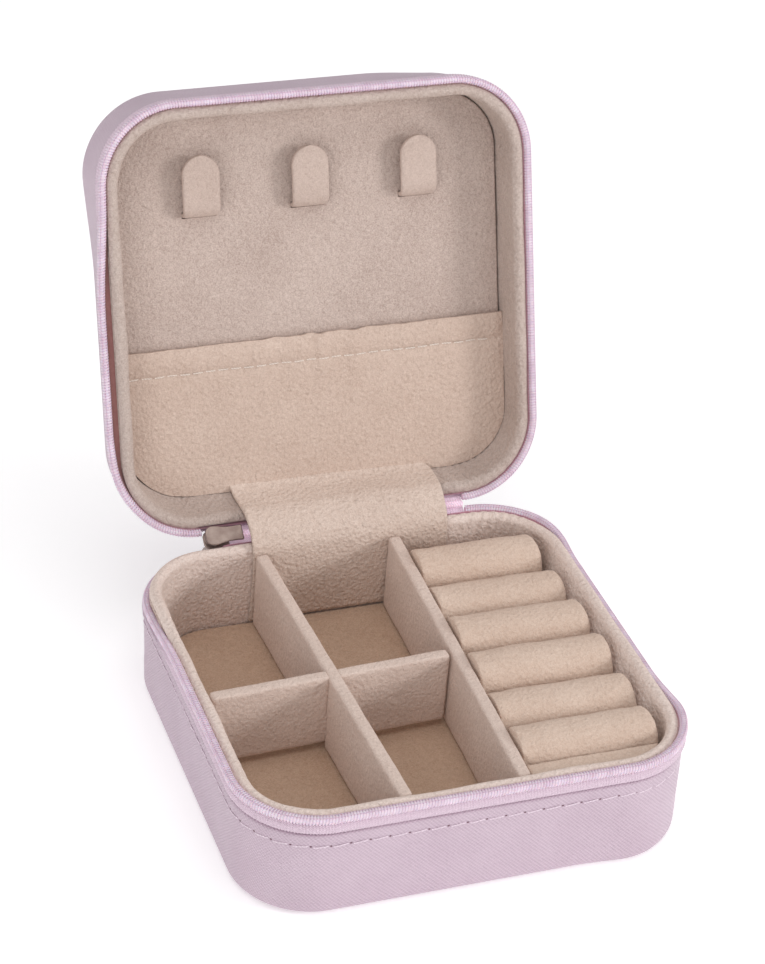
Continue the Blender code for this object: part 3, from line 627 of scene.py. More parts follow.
def with_modifiers(mesh, *modifiers):
    """A mesh after modifiers, each (kind, settings)."""
    holder = put("holder", mesh)
    for kind, settings in modifiers:
        modifier = holder.modifiers.new(kind, kind)
        for setting, value in settings.items():
            setattr(modifier, setting, value)
    bpy.context.view_layer.update()
    result = bpy.data.meshes.new_from_object(holder.evaluated_get(bpy.context.evaluated_depsgraph_get()))
    bpy.data.objects.remove(holder)
    return result


def soft_solid(mesh, voxel, smoothing, place=None):
    """Remesh a hard-edged solid finely and smooth it, as fabric wrapped around it would look."""
    soft = with_modifiers(mesh, ("REMESH", {"mode": "VOXEL", "voxel_size": voxel}),
                          ("SMOOTH", {"factor": 0.5, "iterations": smoothing}))
    if place is not None:
        soft.transform(place)
    soft.shade_smooth()
    return soft


def thickened(mesh, thickness):
    """A sheet as a solid of even thickness."""
    solid = with_modifiers(mesh, ("SOLIDIFY", {"thickness": thickness, "offset": 0.0}))
    solid.shade_smooth()
    return solid


def cut(mesh, cutter_mesh):
    """Cut one mesh from another."""
    cutter = put("cutter", cutter_mesh)
    result = with_modifiers(mesh, ("BOOLEAN", {"object": cutter}))
    bpy.data.objects.remove(cutter)
    return result


def ruffle(mesh, seed, *layers):
    """Move a mesh's points along their normals by smooth noise, in layers of (depth, size)."""
    for layer, (depth, size) in enumerate(layers):
        offset = Vector([(seed + layer) * step for step in (7.1, 3.3, 5.7)])
        normals = [vertex.normal.copy() for vertex in mesh.vertices]
        for vertex, normal in zip(mesh.vertices, normals):
            vertex.co += normal * depth * noise.noise(vertex.co / size + offset)
        mesh.update()


def show(name, mesh, body, slot, material, *replaced):
    """Put a piece in the scene on its body, in place of the CAD nodes that it stands for."""
    mesh.name = name
    piece = put(name, mesh)
    mesh.materials.clear()
    mesh.materials.append(material)
    if body:
        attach(piece, body)
    if replaced:
        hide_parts(*replaced)
    return piece


def show_on_half(half, name, shape, slot, material, *replaced, sharp=60.0):
    """Show a shape that is drawn as on the base, on the base or turned over on the lid."""
    mesh = mesh_from(name, shape, HALVES[half]["place"], sharp)
    return show(name, mesh, half, slot, material, *replaced)


# ---------------------------------------------------------------- outside: leatherette, stitches, zip
def leather_wall(half):
    """The leatherette band: turned in at the bottom, folded over at the top, dented by its stitches."""
    look = HALVES[half]
    bottom, edge, turn_in, lean = (look[key] for key in ("bottom", "edge", "turn_in", "lean"))
    fold = 0.00052
    row_dent = 0.00003
    hole_dent = 0.00026
    wave_depth = 0.00010
    top = LEATHER_TOP - fold
    row = LEATHER_TOP - STITCH_DROP
    corner = (lean + edge, bottom + edge)
    heights = np.unique(np.concatenate([np.linspace(corner[1], top, 14),
                                        row + np.linspace(-0.0009, 0.0009, 13)]))
    section = [(turn_in, bottom)] + arc(*corner, edge, 270, 180, 8)[:-1]
    section += [(lean * (1 - (height - corner[1]) / (top - corner[1])), height) for height in heights]
    section += arc(fold, top, fold, 180, 0, 6)[1:]
    section += [(2 * fold, row - 0.0016), (COVER, row - 0.0020)]
    section += arc(*corner, edge - COVER, 180, 270, 5) + [(turn_in, bottom + COVER)]

    def dented(distance, inward, height):
        outside = inward < COVER * 0.5
        hole = (distance - STITCH_PITCH / 2) / STITCH_PITCH
        hole = (hole - np.round(hole)) * STITCH_PITCH
        dent = row_dent * bump(height - row, 0.00045)
        dent = dent + hole_dent * bump(height - row, 0.00026) * bump(hole, 0.00030)
        wave = wave_depth * np.sin(distance * 190 + look["seed"]) * np.sin(height * 120 + distance * 61)
        wave = wave * ramp(height, top, top - 0.006)
        share = ramp(height, LEATHER_TOP, corner[1]) * ramp(inward, turn_in, turn_in - 0.003)
        flared = look["flare_reach"] * stretch(distance, *look["flare"]) * share
        return inward + outside * (dent * look["sewn"] + wave) - flared, height

    shape = sweep(section, around(0.0003), True, dented)
    show_on_half(half, half + "_leather", shape, "leatherette", LEATHER, half + "_side_cover", sharp=40)


def wall_stitches(half, skip):
    """Sewing stitches around the leatherette band, each sinking into its needle holes. skip is the stretch
    behind the hinge, as distances, that has none."""
    row = LEATHER_TOP - STITCH_DROP
    dive = 0.0016
    slant = 0.00035
    hole_width = 0.00026
    hole_height = 0.00019
    hole_depth = 0.00016
    middles = np.arange(int(PERIMETER / STITCH_PITCH)) * STITCH_PITCH
    middles = middles[np.minimum(middles, PERIMETER - middles) > skip]
    t = np.linspace(-0.5, 0.5, 9)
    paths = on_outline(middles[:, None] + t * STITCH_LENGTH, dive * np.abs(t) ** 4 - 0.00001, row + t * slant)
    show_on_half(half, half + "_stitching", tubes(paths, THREAD_RADIUS, (0, 0, 1)), "leatherette", THREAD)
    # Painted shade: dark discs in the needle holes between the stitches.
    turn = np.arange(8) * math.pi / 4
    holes = (middles[:-1] + STITCH_PITCH / 2)[:, None] + np.cos(turn) * hole_width
    points = on_outline(holes, hole_depth, row + np.sin(turn) * hole_height).reshape(-1, 3)
    faces = [list(range(first, first + 8)) for first in range(0, len(points), 8)]
    show_on_half(half, half + "_stitching_hole_shade", (points, faces, points[:, :2]), "leatherette", HOLE_SHADE)


def zip_shift(half, distance):
    """How far the open zip stands away, outward and down: it splays out along the lid's left side, and
    sags behind the base's rim at the back left corner and along the right side."""
    if half == "lid":
        there = stretch(distance, *LID_LEFT_SPLAY)
        return 0.0013 * there, 0.0019 * there
    at_left = stretch(distance, *BASE_BACK_LEFT_SAG)
    at_right = stretch(distance, *BASE_RIGHT_SAG)
    return -0.0004 * at_left - 0.0005 * at_right, 0.0032 * at_left + 0.0014 * at_right


def shifted(half, distance, inward, height, share=1.0):
    """Move a share of the way that the open zip stands away."""
    out, down = zip_shift(half, distance)
    return inward - out * share, height - down * share


def beside_slider(distance):
    """1 where the slider parks, 0 elsewhere."""
    return ramp(distance, 0.0198, 0.0208) * ramp(distance, 0.0330, 0.0320)


def tape_ring(half):
    """The visible ribbed bulge of the zip tape between the leatherette and the coil."""
    top = SEAM - 0.0021
    low = LEATHER_TOP - 0.0002
    foot = LEATHER_TOP - 0.0040
    section = [(0.0014, foot), (0.0013, low), (0.00035, low + 0.00055), (-0.00020, low + 0.0010),
               (-0.00042, low + 0.0016), (-0.00030, low + 0.0022), (0.00010, top + 0.0001),
               (0.0006, top + 0.0002), (0.0009, top - 0.0001), (0.00075, low + 0.0022),
               (0.00075, low + 0.0012), (0.0016, low + 0.0007), (0.0018, LEATHER_TOP - 0.0008),
               (0.0018, foot)]

    def ribbed(distance, inward, height):
        shown = (inward < 0.0005) & (height > low + 0.0004)
        ribs = 0.5 + 0.5 * np.cos(2 * math.pi * distance / TOOTH_PITCH)
        share = ramp(height, LEATHER_TOP, LEATHER_TOP + 0.0026)
        inward, height = shifted(half, distance, inward - shown * 0.00020 * ribs, height, share)
        return inward, height - 0.0009 * beside_slider(distance) * share

    distances = around(TOOTH_PITCH / 4, -HINGE_SPAN[0], PERIMETER - HINGE_SPAN[1])
    shape = sweep(section, distances, False, ribbed)
    show_on_half(half, half + "_tape", shape, "zip_tape", TAPE, half + "_zip_tape")


def tape_edge(half):
    """The tape's sewn inner edge, between the coil and the lining's rim: a thin line, or a strip where the
    zip stands away."""
    section = [(0.00135, SEAM - 0.0030), (0.00122, SEAM - 0.0022), (0.00100, SEAM - 0.0012),
               (0.00118, SEAM - 0.0009), (0.00140, SEAM - 0.0020), (0.00150, SEAM - 0.0032)]

    def pulled(distance, inward, height):
        return shifted(half, distance, inward, height, ramp(height, SEAM - 0.0030, SEAM - 0.0012))

    distances = around(0.0010, -HINGE_SPAN[0], PERIMETER - HINGE_SPAN[1])
    show_on_half(half, half + "_tape_edge", sweep(section, distances, False, pulled), "zip_tape", ROSE)


def beside_coil(half, distance, out, up):
    """Points along the open zip, outward and up from the middle of its coil."""
    return on_outline(distance, *shifted(half, distance, COIL_CENTRE[0] - out, COIL_CENTRE[1] + up))


def coil_ring(half):
    """The nylon coil half along the tape's edge: a wound wire with a cord inside it."""
    steps = 12
    wire_radius = 0.00025
    cord_radius = 0.00074
    half_depth = 0.00072
    half_height = 0.00082
    start, end = COIL_RUN
    t = np.arange(int((end - start) / TOOTH_PITCH) * steps + 1) / steps
    distance = start + t * TOOTH_PITCH
    angle = 2 * math.pi * t
    path = beside_coil(half, distance, half_depth * squared(np.cos(angle), 0.7), half_height * np.sin(angle))
    _, _, outward_x, outward_y = outline_at(distance)
    ahead = points_of(-outward_y, outward_x, 0.0)
    wire = tubes(path[None], wire_radius, ahead[None])
    cord = sweep(arc(*COIL_CENTRE, cord_radius, 360, 0, 12, 1.12)[:-1], around(0.0012, start, end), False,
                 lambda *place: shifted(half, *place))
    show_on_half(half, half + "_coil", merged([wire, cord]), "zip_coil", NYLON, half + "_zip_coil")


def coil_stitches(half):
    """The two rows of thread that sew the coil to the tape, seen along the coil's edges."""
    distance = around(TOOTH_PITCH / 5, *COIL_RUN)
    lift = 1.0 + 0.05 * np.cos(2 * math.pi * distance / TOOTH_PITCH)
    rows = []
    for lean in (math.radians(58), math.radians(124)):
        path = beside_coil(half, distance, 0.00092 * lift * math.cos(lean), 0.00098 * lift * math.sin(lean))
        rows.append(tubes(path[None], 0.00010, (0, 0, 1), 5))
    show_on_half(half, half + "_coil_stitching", merged(rows), "zip_coil", COIL_THREAD)


# ---------------------------------------------------------------- lining, dividers and ring rolls
def lining_wall(half):
    """The velvet wall with its fat rolled rim, wrinkled where it is pulled around a corner. The lid's wall
    slopes to the raised lower edge of its panel, and the base's right wall leans in to the ring rolls."""
    low = HALVES[half]["lining_low"]
    seed = HALVES[half]["seed"]
    rim = SEAM - 0.0006
    radius = 0.00142
    to_rolls = 0.0018
    uneven = 0.00005
    pebbles = 0.00004
    fold_depth = 0.00026
    centre = LINER_INSIDE - radius
    section = [(LINER_INSIDE, height) for height in np.linspace(low, rim - radius, 22)]
    section += arc(centre, rim - radius, radius, 180, 0, 12)[1:]
    section += [(centre - radius, rim - radius * 1.6), (0.0021, rim - 0.0034), (0.0021, SEAM - 0.0096),
                (0.0032, SEAM - 0.0099), (0.0032, low)]

    def handled(distance, inward, height):
        shown = ramp(inward, 0.0024, LINER_INSIDE)
        if half == "lid":
            x, y, _, outward_y = outline_at(distance)
            slope = lid_wall_slope(x, y - PANEL_INSET * outward_y, 2 * SEAM - height)
            inward = inward + shown * slope * np.clip(outward_y, 0, 1)
        else:
            lean = to_rolls * ramp(height, rim - 0.0010, rim - 0.0072) * ramp(height, 0.0110, 0.0140)
            inward = inward + shown * lean * stretch(distance, *BASE_RIGHT_WALL)
        cut_back = np.where(height > SEAM - 0.0031, 0.0017 * beside_slider(distance), 0.0)
        inward = np.maximum(inward, cut_back)
        near_rim = bump(height - rim, 0.004)
        slow = np.sin(distance * 130 + seed) + np.sin(distance * 311 + 2 * seed)
        quick = np.sin(distance * 1150 + 3 * np.sin(distance * 260)) * np.sin(height * 520 + seed)
        folds = bump(distance - WRINKLES, 0.012) * np.sin((distance - WRINKLES) * 2300 + height * 420)
        folds = folds * ramp(height, low, low + 0.012)
        return (inward + shown * (uneven * slow + pebbles * quick + fold_depth * folds),
                height + near_rim * (0.00008 * slow + 0.00012 * folds))

    # The lid's lining takes the darker copy of the wall velvet, painted shade.
    material = VELVETS["lid_wall_shade" if half == "lid" else "wall"]
    shape = sweep(section, around(0.0008), True, handled)
    show_on_half(half, "lining_" + half, shape, "velvet", material, half + "_liner")


def divider(name, node, turn, length, low, high, seed, bottom_notch=None, top_notch=None):
    """A velvet-wrapped board with soft edges. A notch is (where it starts, where it ends, height), along the
    board in the direction of the outline: to the right on its bottom edge, to the left on its top edge."""
    half = length / 2
    outline = [(-half, low), (half, low), (half, high), (-half, high)]
    for notch, position, edge in ((bottom_notch, 1, low), (top_notch, 3, high)):
        if notch:
            start, end, lap = notch
            outline[position:position] = [(start, edge), (start, lap), (end, lap), (end, edge)]
    middle = middle_of(node)
    place = Matrix.Translation((middle.x, middle.y, 0)) @ Matrix.Rotation(turn, 4, "Z")
    soft = soft_solid(board(name, outline, DIVIDER_THICKNESS), 0.00042, 10, place)
    ruffle(soft, seed, (0.00010, 0.0060), (0.00004, 0.0012))
    show(name, soft, "base", "velvet", VELVETS["smooth"], node)


def turned_length(extent, turn):
    """Length of a board that fills an extent when it is turned."""
    return (extent - DIVIDER_THICKNESS * math.sin(turn)) / math.cos(turn)


def build_dividers():
    """Two long dividers and the cross divider, halved together."""
    upright = math.pi / 2
    lap = 0.0158
    clear = DIVIDER_THICKNESS / 2 - GAP
    low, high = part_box("long_divider_left")
    cross_low, cross_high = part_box("cross_divider")
    long_length = turned_length(high.y - low.y, LEFT_TURN)
    cross_length = turned_length(cross_high.x - cross_low.x, CROSS_TURN)
    from_cross = middle_of("long_divider_left") - middle_of("cross_divider")
    along_cross = from_cross.x
    along_left = along_cross * math.tan(CROSS_TURN) - from_cross.y
    divider("divider_left", "long_divider_left", upright + LEFT_TURN, long_length, low.z, high.z, 1,
            bottom_notch=(along_left - clear, along_left + clear, lap))
    divider("divider_right", "long_divider_right", upright + RIGHT_TURN, long_length, low.z, high.z, 2)
    divider("divider_cross", "cross_divider", CROSS_TURN, cross_length, cross_low.z + 0.0008, cross_high.z, 3,
            top_notch=(along_cross + clear, along_cross - clear, lap - GAP))


def ring_roll(number):
    """A stuffed roll of the ring holder: its cover is drawn in at both ends and a little uneven."""
    node = f"ring_roll_{number}"
    low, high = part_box(node)
    middle = middle_of(node)
    half = (high - low) / 2
    length = high.x - low.x
    end = 0.0019
    left_pinch = 0.05
    right_pinch = 0.18
    squareness = 0.92
    rounding = end * (1 - np.cos(np.linspace(0, math.pi / 2, 9)))
    along = np.concatenate([rounding, np.linspace(end, length - end, 44)[1:-1], length - rounding[::-1]])
    from_end = np.minimum(along, length - along)
    pinch = np.where(along < length / 2, left_pinch, right_pinch)
    size = 1 - pinch * (1 - np.sqrt(1 - np.clip(1 - from_end / end, 0, 1) ** 2))
    size = size * (1 - 0.02 * bump(from_end - end * 1.6, end))
    angle = np.arange(56) * 2 * math.pi / 56
    uneven = 0.012 * np.sin(along[:, None] * 320 + number * 1.9) * np.sin(angle + number)
    tugs = 0.010 * bump(from_end[:, None], 0.004) * np.sin(angle * 13 + number * 2.3)
    factor = size[:, None] * (0.985 + uneven + tugs)
    points = points_of(low.x + along[:, None],
                       middle.y + half.y * squared(np.cos(angle), squareness) * factor,
                       middle.z + half.z * squared(np.sin(angle), squareness) * factor)
    v = np.append(angle, 2 * math.pi) * half.y
    mesh = mesh_from(node, grid(points, False, True, np.append(along, along[-1]), v, caps=True))
    ruffle(mesh, number, (0.00016, 0.0050))
    ruffle(mesh, number + 9, (0.00006, 0.0014))
    piece = show(node + "_cover", mesh, "base", "roll_velvet", VELVETS["roll"], node)


def end_pad(name, node):
    """A padded strip at an end of the ring tray, kept inside its node's box and the rounded wall."""
    low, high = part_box(node)
    outline = [(x, y, low.z) for x, y in nested_outline(LINER_INSIDE + 2 * GAP)]
    mesh = prism(name, outline, (0, 0, high.z - low.z))
    below = (-1, -1, -1)
    above = (1, 1, 1)
    for cutter in ((below, (low.x + GAP, 1, 1)), ((-1, high.y, -1), above), (below, (1, low.y, 1))):
        mesh = cut(mesh, block("side", *cutter))
    soft = soft_solid(mesh, 0.00035, 6)
    ruffle(soft, 5, (0.00012, 0.0040))
    piece = show(name, soft, "base", "roll_velvet", VELVETS["roll"], node)


def floor_pad():
    """The velvet-covered floor of the compartments."""
    low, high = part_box("base_floor_pad")
    mesh = mesh_from("floor_pad", pad(LINER_INSIDE + GAP, low.z, high.z, 0.0009))
    # The floor takes the darker, browner velvet, painted shade and bounced light.
    piece = show("floor_pad", mesh, "base", "velvet", VELVETS["floor"], "base_floor_pad")


# ---------------------------------------------------------------- lid, drawn closed and then opened
def raised(x, y):
    """Where the panel's lower part really lies: its lower edge sits a little high, most at the left."""
    bend = 0.015
    return y - (0.0020 - 0.0145 * x) * eased(ramp(y, bend, HALF_Y - PANEL_INSET))


def lid_wall_slope(x, y, closed_height):
    """How far inward the lid's wall stands, to meet the raised edge of the panel."""
    return (y - raised(x, y)) * ramp(closed_height, SEAM + 0.0006, POCKET_FACE) ** 1.6


def lid_panel():
    """The velvet panel in the lid, with a slit for each hook."""
    slit_y = (-0.0228, -0.0213)
    points, faces, uvs = pad(PANEL_INSET, PANEL_FACE, PANEL_BACK, 0.0005, -0.0001)
    points[:, 1] = raised(points[:, 0], points[:, 1])
    mesh = mesh_from("lid_panel_velvet", (points, faces, uvs), turned_over(PANEL_FACE + PANEL_BACK))
    for side in ("left", "middle", "right"):
        low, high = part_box("necklace_hook_" + side)
        mesh = cut(mesh, block("slit", (low.x + GAP, slit_y[0], PANEL_FACE - 0.002),
                               (high.x - GAP, slit_y[1], PANEL_BACK - 0.0004)))
    mesh.shade_smooth()
    mesh.set_sharp_from_angle(angle=math.radians(50))
    mesh.transform(LID_OPEN)
    show("lid_panel_velvet", mesh, "lid", "velvet", VELVETS["panel"], "lid_panel")


def necklace_hook(side):
    """A velvet-wrapped tab with a round end, bent out of its slit."""
    node = "necklace_hook_" + side
    low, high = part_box(node)
    middle = middle_of(node).x
    half = (high.x - low.x) / 2
    root = -0.0221
    tip = -0.0358
    face = 0.0352
    thick = 0.00062
    droop = 0.0003
    bend = [(root + 0.0002, PANEL_BACK - 0.0006), (root, PANEL_FACE), (root - 0.0002, 0.0366),
            (root - 0.0008, 0.0357), (root - 0.0018, face)]
    straight = [(y, face - droop * (root - y) / (root - tip))
                for y in np.linspace(root - 0.0026, tip + half, 12)]
    round_end = np.linspace(0, math.pi / 2, 12)[1:]
    end = [(tip + half - half * math.sin(angle), face - droop) for angle in round_end]
    line = np.array(bend + straight + end)
    widths = np.concatenate([np.full(len(bend) + len(straight), half), half * np.cos(round_end)])
    widths = np.maximum(widths, 0.0004)
    widths[:len(bend)] -= np.linspace(0.0004, 0.0, len(bend))
    ahead = np.gradient(line, axis=0)
    ahead /= np.linalg.norm(ahead, axis=1, keepdims=True)
    turn = np.arange(40) * 2 * math.pi / 40
    lift = thick * squared(np.sin(turn), 0.6)
    points = points_of(middle + widths[:, None] * squared(np.cos(turn), 0.25),
                       line[:, :1] - ahead[:, 1:] * lift, line[:, 1:] + ahead[:, :1] * lift)
    run = run_along(line)
    v = np.arange(len(turn) + 1) * half / 10
    mesh = mesh_from(node, grid(points, False, True, np.append(run, run[-1]), v, caps=True), LID_OPEN)
    ruffle(mesh, 4, (0.00005, 0.0015))
    # The hook takes the darker copy of the smooth velvet, painted shade.
    show(node + "_velvet", mesh, "lid", "velvet", VELVETS["hook"], node)


def half_width(y, inset):
    """Half the width of the outline at a distance inward, at a given y."""
    radius = CORNER - inset
    past = np.clip(np.abs(y) - RUN_Y, 0, radius)
    return RUN_X + np.sqrt(radius ** 2 - past ** 2)


def gathers(x):
    """The pocket's small folds along its hem."""
    return np.sin(x * 640 + 2.2 * np.sin(x * 150))


def necklace_pocket():
    """The gathered pocket: a sheet over the panel's lower half, wrapped around its edges, with an elastic
    hem that puckers it."""
    inset = PANEL_INSET - 0.0001
    bottom = HALF_Y - inset
    wraps = (0.0006, 0.0016, 0.0030)
    thickness = 0.00035
    gather_depth = 0.00016
    channel_puff = 0.00040
    stitch_dip = 0.00028
    fall_puff = 0.00030
    ripple = 0.00010
    y_rows = POCKET_TOP + np.concatenate([
        np.linspace(0, POCKET_STITCH - POCKET_TOP, 20),
        np.linspace(POCKET_STITCH - POCKET_TOP, bottom - POCKET_TOP, 52)[1:]])
    columns = np.linspace(-1, 1, 300)
    x = columns * half_width(y_rows, inset)[:, None]
    y = np.repeat(y_rows[:, None], len(columns), 1)
    under = y - POCKET_STITCH
    pull = 0.6 + 0.4 * np.sin(x * 95 + 1.0)
    gather = gathers(x) + 0.6 * np.sin(x * 1310 + 1.7 * np.sin(x * 210))
    below = np.where(under > 0, np.exp(-under / 0.0060), 1.0)
    edge = ramp(np.abs(columns), 1, 0.97)
    out = gather_depth * gather * pull * below
    out += channel_puff * bump(y - (POCKET_TOP + POCKET_STITCH) / 2, 0.0021)
    out -= stitch_dip * bump(under, 0.0006)
    out += fall_puff * np.where(under > 0, below * (1 - np.exp(-under / 0.0012)), 0)
    out += ripple * np.sin(x * 130 + y * 90) * np.sin(y * 170)
    z = POCKET_FACE - out * edge + 0.0002 * ramp(y, POCKET_TOP + 0.0008, POCKET_TOP)
    y = y + gather_depth * gather * pull * ramp(y, POCKET_TOP + 0.0060, POCKET_TOP) * edge

    hem = [points_of(x[0], y[0] + depth, POCKET_FACE + back)
           for depth, back in ((0.0050, 0.0014), (0.0006, 0.0014), (0.0001, 0.0009))]
    foot = [points_of(x[-1], y[-1], POCKET_FACE + back) for back in wraps]
    points = np.concatenate([hem, points_of(x, y, z), foot])
    points[:, :, 1] = raised(points[:, :, 0], points[:, :, 1])
    sides = []
    for column in (0, -1):
        edges = points[:, [column] * len(wraps)]
        edges[len(hem):, :, 2] += wraps
        sides.append(edges)
    mesh = mesh_from("pocket", grid(np.concatenate([sides[0][:, ::-1], points, sides[1]], 1)))
    edited(mesh, lambda bm: bmesh.ops.remove_doubles(bm, verts=bm.verts, dist=0.00002))
    solid = thickened(mesh, thickness)
    ruffle(solid, 8, (0.00005, 0.0012))
    solid.transform(LID_OPEN)
    piece = show("necklace_pocket_velvet", solid, "lid", "velvet", VELVETS["pocket"], "necklace_pocket")


def pocket_stitches():
    """The row of stitches under the pocket's elastic."""
    reach = 0.0432
    pitch = 0.0030
    length = 0.0022
    radius = 0.00016
    t = np.linspace(-0.5, 0.5, 7)
    x = np.arange(-reach, reach + 0.0001, pitch)[:, None] + t * length
    z = POCKET_FACE - 0.00010 + 0.0012 * np.abs(t) ** 4 - 0.00012 * gathers(x)
    paths = points_of(x, POCKET_STITCH + 0.00006 * gathers(x), z)
    mesh = mesh_from("pocket_stitching", tubes(paths, radius, (0, 0, 1)), LID_OPEN)
    show("pocket_stitching", mesh, "lid", "velvet", POCKET_THREAD)


# ---------------------------------------------------------------- hinge
def opened(y, z):
    """Where a point (y, z) of the closed lid goes on the open one."""
    moved = LID_OPEN @ Vector((0, y, z))
    return moved.y, moved.z


def hinge_flap():
    """The velvet flap from under the lid's panel, over the gap, down the base's back wall."""
    wall = HALF_Y - LINER_INSIDE - 0.00065
    thickness = 0.00062
    hidden = 0.0012
    shoulder = 0.0046
    start = np.array(opened(wall, SEAM + 0.0020))
    end = np.array((wall, SEAM - 0.0020))
    bridge = curve(np.linspace(0, 1, 26)[:, None], start, np.array(opened(wall, SEAM - 0.0022)),
                   np.array((wall, SEAM + 0.0022)), end)
    tuck = curve(np.linspace(0, 1, 12)[:, None], np.array((HALF_Y - 0.0072, PANEL_FACE + 0.0006)),
                 np.array((HALF_Y - 0.0056, 0.0368)), np.array((wall, 0.0360)), np.array((wall, 0.0325)))
    lid_heights = np.concatenate([tuck[:, 1], np.linspace(0.0320, SEAM + 0.0024, 8)])
    on_lid = [opened(*point) for point in tuck] + [opened(wall, z) for z in lid_heights[len(tuck):]]
    on_base = [(wall, z) for z in np.linspace(SEAM - 0.0026, DIVIDER_LOW + 0.0002, 26)]
    path = np.array(on_lid + bridge.tolist() + on_base)
    run = run_along(path)
    rounding = np.sqrt(1 - (1 - ramp(run, hidden, hidden + shoulder)) ** 2)
    wide = ramp(run, 0.018, 0.006)
    right = FLAP_SPAN[1] - 0.0006 + 0.0010 * eased(wide) - 0.0044 * (1 - rounding)
    left = FLAP_SPAN[0] + 0.0002 * np.sin(run * 260) - 0.0008 * wide
    points, run = strip(path, left, right, 96)
    on_slope = points[:len(on_lid)]
    slope = lid_wall_slope(on_slope[:, :, 0], HALF_Y - PANEL_INSET, lid_heights[:, None])
    on_slope -= slope[:, :, None] * np.array(LID_OPEN.to_3x3() @ Vector((0, 1, 0)))
    sag = np.sin(math.pi * ramp(run, 0.006, 0.022))[:, None]
    points[:, :, 2] += sag * 0.00022 * np.sin(points[:, :, 0] * 170 + 0.6)
    points[:, :, 1] += sag * 0.00016 * np.sin(points[:, :, 0] * 260)
    shape = grid(points, u=np.append(run, run[-1]), v=np.linspace(0, right[0] - left[0], 97))
    mesh = thickened(mesh_from("flap", shape), thickness)
    ruffle(mesh, 6, (0.00008, 0.0045), (0.00004, 0.0011))
    piece = show("hinge_flap_velvet", mesh, None, "velvet", VELVETS["flap"], "hinge_flap")
    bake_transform(piece)


def leather_hinge():
    """The leatherette strip outside, on which the lid turns."""
    radius = 0.0005
    reach = 0.0100
    thickness = 0.00055
    y = HINGE.y - radius
    bend = [(HINGE.y + radius * math.cos(angle), SEAM + radius * math.sin(angle))
            for angle in np.linspace(math.pi, math.pi - OPEN_ANGLE, 14)]
    path = [(y, z) for z in np.linspace(SEAM - reach, SEAM - 0.0003, 22)] + bend
    path += [opened(y, z) for z in np.linspace(SEAM + 0.0003, SEAM + reach, 22)]
    left, right = HINGE_SPAN
    points, run = strip(path, np.full(len(path), left), np.full(len(path), right), 60)
    shape = grid(points, u=np.append(run, run[-1]), v=np.linspace(0, right - left, 61))
    mesh = thickened(mesh_from("strip", shape), thickness)
    ruffle(mesh, 11, (0.00004, 0.0030))
    piece = show("leather_hinge_strip", mesh, None, "leatherette", LEATHER, "leather_hinge")
    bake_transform(piece)


def strip_stitches(half, way, place=None):
    """Stitches around the outer strip's end, on the base (way -1) or the lid (way 1)."""
    inset = 0.0015
    reach = 0.0086
    pitch = 0.0029
    length = 0.0021
    dive = 0.0014
    t = np.linspace(-0.5, 0.5, 7)
    sunk = HINGE.y - 0.00017 - dive * np.abs(t) ** 4
    left = HINGE_SPAN[0] + inset
    right = HINGE_SPAN[1] - inset
    paths = [(middle + t * length, sunk, SEAM + way * reach)
             for middle in np.arange(left + pitch / 2, right, pitch)]
    paths += [(x, sunk, SEAM + way * (reach - pitch * drop) + t * length)
              for x in (left, right) for drop in (0.5, 1.5)]
    name = "strip_stitching_" + half
    shape = tubes(np.array([points_of(*path) for path in paths]), THREAD_RADIUS, (0, 1, 0))
    mesh = mesh_from(name, shape, place)
    show(name, mesh, half, "leatherette", THREAD)


# ---------------------------------------------------------------- closed zip and slider
def joined_coil(side):
    """A short stretch of closed zip, reaching under the flap: two interleaved coils around their cords, and
    the tape behind them."""
    node = "joined_coil_" + side
    under_flap = 0.0016
    tooth_radius = 0.00019
    cord_radius = 0.00042
    half_depth = 0.00042
    half_height = 0.00060
    lean = 0.00030
    tape_reach = 0.0021
    tape_thickness = 0.0004
    low, high = (corner.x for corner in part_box(node))
    if side == "left":
        high += under_flap
    else:
        low -= under_flap
    turns = int((high - low) / TOOTH_PITCH)
    t = np.arange(turns * 12 + 1) / 12
    x = low + 0.0003 + t * (high - low - 0.0006) / turns
    shapes = []
    for shift, middle in ((0.0, -lean), (0.5, lean)):
        angle = 2 * math.pi * (t + shift)
        path = points_of(x, middle + half_depth * np.cos(angle), half_height * np.sin(angle))
        cord = points_of(x[::6], middle, 0.0)
        shapes += [tubes(path[None], tooth_radius, (1, 0, 0)), tubes(cord[None], cord_radius, (0, 0, 1), 8)]
    teeth = mesh_from(node, merged(shapes), ZIP_TURN)
    show(node + "_teeth", teeth, "joined_zip", "zip_coil", JOINED_NYLON, node)
    width = np.linspace(-tape_reach, tape_reach, 16)
    run = np.arange(low, high, TOOTH_PITCH / 4)
    ribs = 0.00006 * np.cos(2 * math.pi * run / TOOTH_PITCH)
    points = points_of(run[:, None], width, -0.00075 + ribs[:, None])
    shape = grid(points, u=np.append(run, run[-1]), v=np.append(width, width[-1]))
    backing = mesh_from(node, shape, ZIP_TURN)
    show(node + "_tape", thickened(backing, tape_thickness), "joined_zip", "zip_tape", JOINED_TAPE)


